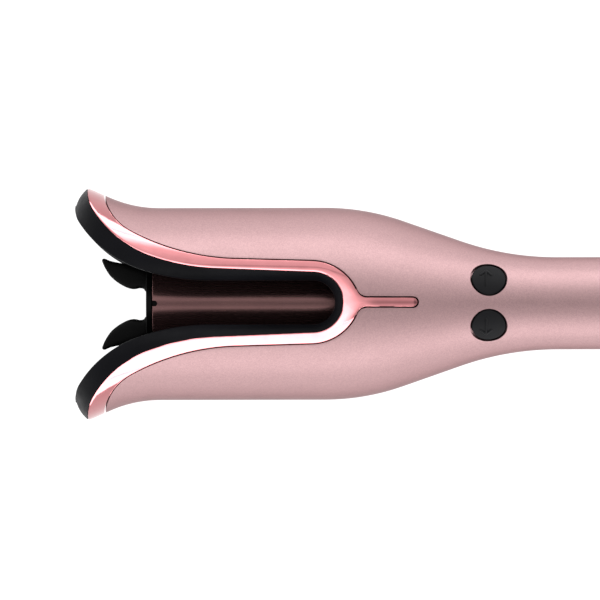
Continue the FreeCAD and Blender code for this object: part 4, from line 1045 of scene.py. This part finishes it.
def build_hook_cap():
    """The barrel's end cap: a bevelled disc with a screw recess and the two hooks."""
    profile = rounded([
        (265.6, 1.2), (265.6, 11.15), (269.75, 11.15), (269.75, 12.62), (271.95, 12.62), (271.95, 3.4),
        (270.75, 2.7), (270.75, 1.2),
    ], 0.4)
    parts = [lathe(profile, 144).object("end_disc")] + [hook(sign).object("hook") for sign in (1, -1)]
    finish_piece(merged("hook_end", parts), "barrel", "hook_cap", "hook_cap", angle=45)


# -------- cord end


RIB_START, RIB_END, RIB_DEPTH, RIB_PITCH = 1.6, 5.6, 0.22, 1.0


def build_cord_end():
    """The ribbed gland that the cord enters, and the ring that closes the handle round it."""
    gland = densified(rounded([
        (0.0, 3.4), (0.0, 5.0), (1.4, 6.1), (4.6, 7.0), (14.8, 7.0), (14.8, 9.0), (17.0, 9.0), (17.0, 3.4),
    ], 0.6), 0.2)
    x, r = gland.T
    ribbed = (x > RIB_START) & (x < RIB_END) & (r > 6.0)
    groove = RIB_DEPTH * (0.5 - 0.5 * np.cos(2 * math.pi * (x - RIB_START) / RIB_PITCH))
    gland = np.stack([x, r - np.where(ribbed, groove, 0)], 1)
    finish_piece(lathe(gland, 96).object("gland_body"), "gland", "gland", "cord_gland", angle=40)
    ring = rounded([
        (6.0, 7.06), (6.0, 10.1), (8.0, 12.3), (10.0, 12.7), (10.0, 9.2), (12.2, 9.2), (12.2, 11.0),
        (14.5, 11.0), (14.5, 7.06),
    ], 0.5)
    finish_piece(lathe(ring, 120).object("end_ring"), "housing", "end_cap", "end_cap", angle=40)


# -------- feet

FOOT_X, FOOT_TILT = 188.0, 18.0
# From the middle of a foot outwards and down its side: radius, height from the tool's axis.
FOOT_PROFILE = [(0.0, 36.35), (0.9, 36.4), (1.15, 36.22), (1.4, 36.4), (1.9, 36.45), (2.25, 36.35),
                (2.43, 36.1), (2.47, 35.6), (2.47, 33.4), (0.0, 33.4)]


def build_feet():
    """Two soft feet behind the rear slot, with rounded rims and a shallow grip ring."""
    angles = circle(56)
    feet = []
    for tilt in (180 - FOOT_TILT, 180 + FOOT_TILT):
        rings = [button_point(FOOT_X, tilt, r * np.cos(angles), r * np.sin(angles), h + 0 * angles)
                 for r, h in FOOT_PROFILE]
        feet.append(Form().grid(rings, closed=True).object("foot"))
    finish_piece(merged("rest_pads", feet), "housing", "foot", "rest_feet", angle=40)


# -------- the frame's own nodes


def paint_frame():
    """Every CAD node keeps its shape and gets its slot's material."""
    slots = {s["node"]: s["material_slot"] for s in frame["record"]["subparts"]}
    for name, node in frame["nodes"].items():
        look = looks[slots[name]]
        if node.data.materials:
            for i in range(len(node.data.materials)):
                node.data.materials[i] = look
        else:
            node.data.materials.append(look)


# -------- studio

SKY = [
    # angle from straight above, towards +Y (degrees), and brightness
    (-180, 0.6), (-105, 0.9), (-92, 1.9), (-70, 1.7), (-50, 1.2), (-36, 1.02), (-23, 0.7), (-14, 0.8),
    (-4, 0.34), (4, 0.34), (14, 0.92), (22, 0.5), (36, 0.74), (50, 1.0), (70, 1.65), (92, 1.9), (105, 0.9),
    (180, 0.6),
]
SKY_TOP = 1.9


def sky():
    """A studio tent: dim overhead, brighter to both sides."""
    world = bpy.data.worlds.new("studio")
    bpy.context.scene.world = world
    world.use_nodes = True
    tree = world.node_tree
    place = new_node(tree, "TexCoord")
    split_up = new_node(tree, "SeparateXYZ")
    angle = new_node(tree, "Math", operation="ARCTAN2")
    share = new_node(tree, "MapRange", (("From Min", -math.pi), ("From Max", math.pi)))
    ramp = new_node(tree, "ValToRGB")
    ramp.color_ramp.interpolation = "EASE"
    elements = ramp.color_ramp.elements
    while len(elements) < len(SKY):
        elements.new(0.5)
    for element, (degrees, _) in zip(elements, SKY):
        element.position = (degrees + 180) / 360
    for element, (_, value) in zip(elements, SKY):
        element.color = (value / SKY_TOP,) * 3 + (1,)
    background = tree.nodes["Background"]
    background.inputs["Strength"].default_value = SKY_TOP
    for source, target in (
        (place.outputs["Generated"], split_up.inputs[0]),
        (split_up.outputs["Y"], angle.inputs[0]),
        (split_up.outputs["Z"], angle.inputs[1]),
        (angle.outputs[0], share.inputs["Value"]),
        (share.outputs["Result"], ramp.inputs["Fac"]),
        (ramp.outputs["Color"], background.inputs["Color"]),
    ):
        tree.links.new(source, target)


def paper_look():
    """The floor: grey paper with a painted glow, white round the part, where the glow washes out the part's
    shadow, and greyer further out.
    """
    paper = Look("paper", roughness=0.9)
    paper.colour(paper.noise(40, 3), grey(0.25), grey(0.28), 0, 1)
    centre = paper.node("VectorMath", operation="DISTANCE")
    paper.link(paper.place, centre.inputs[0])
    centre.inputs[1].default_value = (0.15, 0, 0)
    # Painted light: the floor glows brightest round the part, which hides its shadow, and dimmer further out.
    painted_floor_glow = paper.span(centre.outputs["Value"], 0.98, 0.5, 0.3, 1.2)
    paper.link(painted_floor_glow, paper.shader.inputs["Emission Strength"])
    paper.shader.inputs["Emission Color"].default_value = (1, 1, 1, 1)
    return paper.material


def panel(name, place, size, radiance, aim):
    """A flat rectangular light that the camera doesn't see."""
    light = bpy.data.lights.new(name, "AREA")
    light.shape = "RECTANGLE"
    light.size, light.size_y = size
    light.energy = radiance * math.pi * size[0] * size[1]
    holder = added(name, light)
    holder.location = place
    holder.rotation_euler = Vector(aim).to_track_quat("-Z", "Y").to_euler()
    holder.visible_camera = False
    return holder


def fade(holder, side, start, end, low=0.0):
    """Fades a panel from start to end along its X or Y side, which counts as 1 long; fades can be stacked."""
    light = holder.data
    light.use_nodes = True
    tree = light.node_tree
    strength = tree.nodes["Emission"].inputs["Strength"]
    geometry = new_node(tree, "NewGeometry")
    apart = new_node(tree, "SeparateXYZ")
    share = new_node(tree, "MapRange", (("From Min", start), ("From Max", end), ("To Min", low)),
                     interpolation_type="SMOOTHSTEP")
    tree.links.new(geometry.outputs["Parametric"], apart.inputs[0])
    tree.links.new(apart.outputs[side], share.inputs["Value"])
    if strength.is_linked:
        tree.links.new(strength.links[0].from_socket, share.inputs["To Max"])
    tree.links.new(share.outputs["Result"], strength)


BRIGHT, OVERHEAD = 4.3, 4.8  # radiance of the trim's panels


def trim_lights():
    """Panels that only the polished bands reflect.

    They are a bright wall on one side, a low one on the other, floor strips beyond the part, and an overhead
    panel that fades along both of its sides."""
    bands = bpy.data.collections.new("bands")
    for name in ("front_band", "rear_band"):
        bands.objects.link(bpy.data.objects[name])
    wall = panel("trim_wall", (0.1, 0.9, 0.96), (2.4, 1.98), BRIGHT, (0, -1, 0))
    overhead = panel("trim_overhead", (-0.05, -0.19, 1.2), (1.7, 1.5), OVERHEAD, (0, 0, -1))
    fade(overhead, "Y", -0.2, 1.0)
    fade(overhead, "X", 0.3, 0.58, 0.08)
    low_wall = panel("trim_low_wall", (0.1, -0.9, 0.195), (2.4, 0.45), BRIGHT, (0, 1, 0))
    fade(low_wall, "Y", 0.9, 0.1)
    strips = [panel("trim_floor_" + name, (0.1, y, -0.034), (1.6, 0.7), BRIGHT, (0, 0, 1))
              for name, y in (("plus", 0.52), ("minus", -0.525))]
    for holder in (wall, overhead, low_wall, *strips):
        holder.light_linking.receiver_collection = bands


def softbox(name, place, size, radiance):
    """A panel aimed at the part."""
    holder = panel(name, place, size, radiance, Vector((0.2, 0, 0)) - Vector(place))
    holder.visible_camera = True


FLOOR_HALF, FLOOR_GAP = 4.0, 0.0002
VIEW_WIDTH = 0.225  # metres that the picture shows
VIEW_AIM = (0.2145, -0.00142)
LEAN, TURN = math.radians(1.1), -0.002  # how far the part lies rolled and turned in the picture


def studio():
    low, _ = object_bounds()
    mesh = bpy.data.meshes.new("floor")
    around = ((-1, -1), (1, -1), (1, 1), (-1, 1))
    corners = [(x * FLOOR_HALF, y * FLOOR_HALF, low[2] - FLOOR_GAP) for x, y in around]
    mesh.from_pydata(corners, [], [(0, 1, 2, 3)])
    floor = added("floor", mesh)
    mesh.materials.append(paper_look())
    floor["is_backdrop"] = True
    sky()
    softbox("softbox_left", (0.2, 0.62, 0.55), (1.3, 0.62), 0.32)
    softbox("softbox_right", (0.2, -0.72, 0.42), (1.3, 0.55), 0.36)
    trim_lights()

    scene = bpy.context.scene
    scene.view_settings.view_transform = "Standard"
    camera = bpy.data.cameras.new("camera")
    camera.lens, camera.sensor_width = 500, 36
    camera.clip_end = 20
    view = added("camera", camera)
    distance = VIEW_WIDTH * camera.lens / camera.sensor_width
    view.location = (VIEW_AIM[0], VIEW_AIM[1] + distance * math.sin(LEAN), distance * math.cos(LEAN))
    view.rotation_euler = (LEAN, 0, math.pi + TURN)
    scene.camera = view


paint_frame()
build_casing()
build_buttons()
build_window()
build_slot_pieces()
build_barrel()
build_hook_cap()
build_cord_end()
build_feet()
studio()
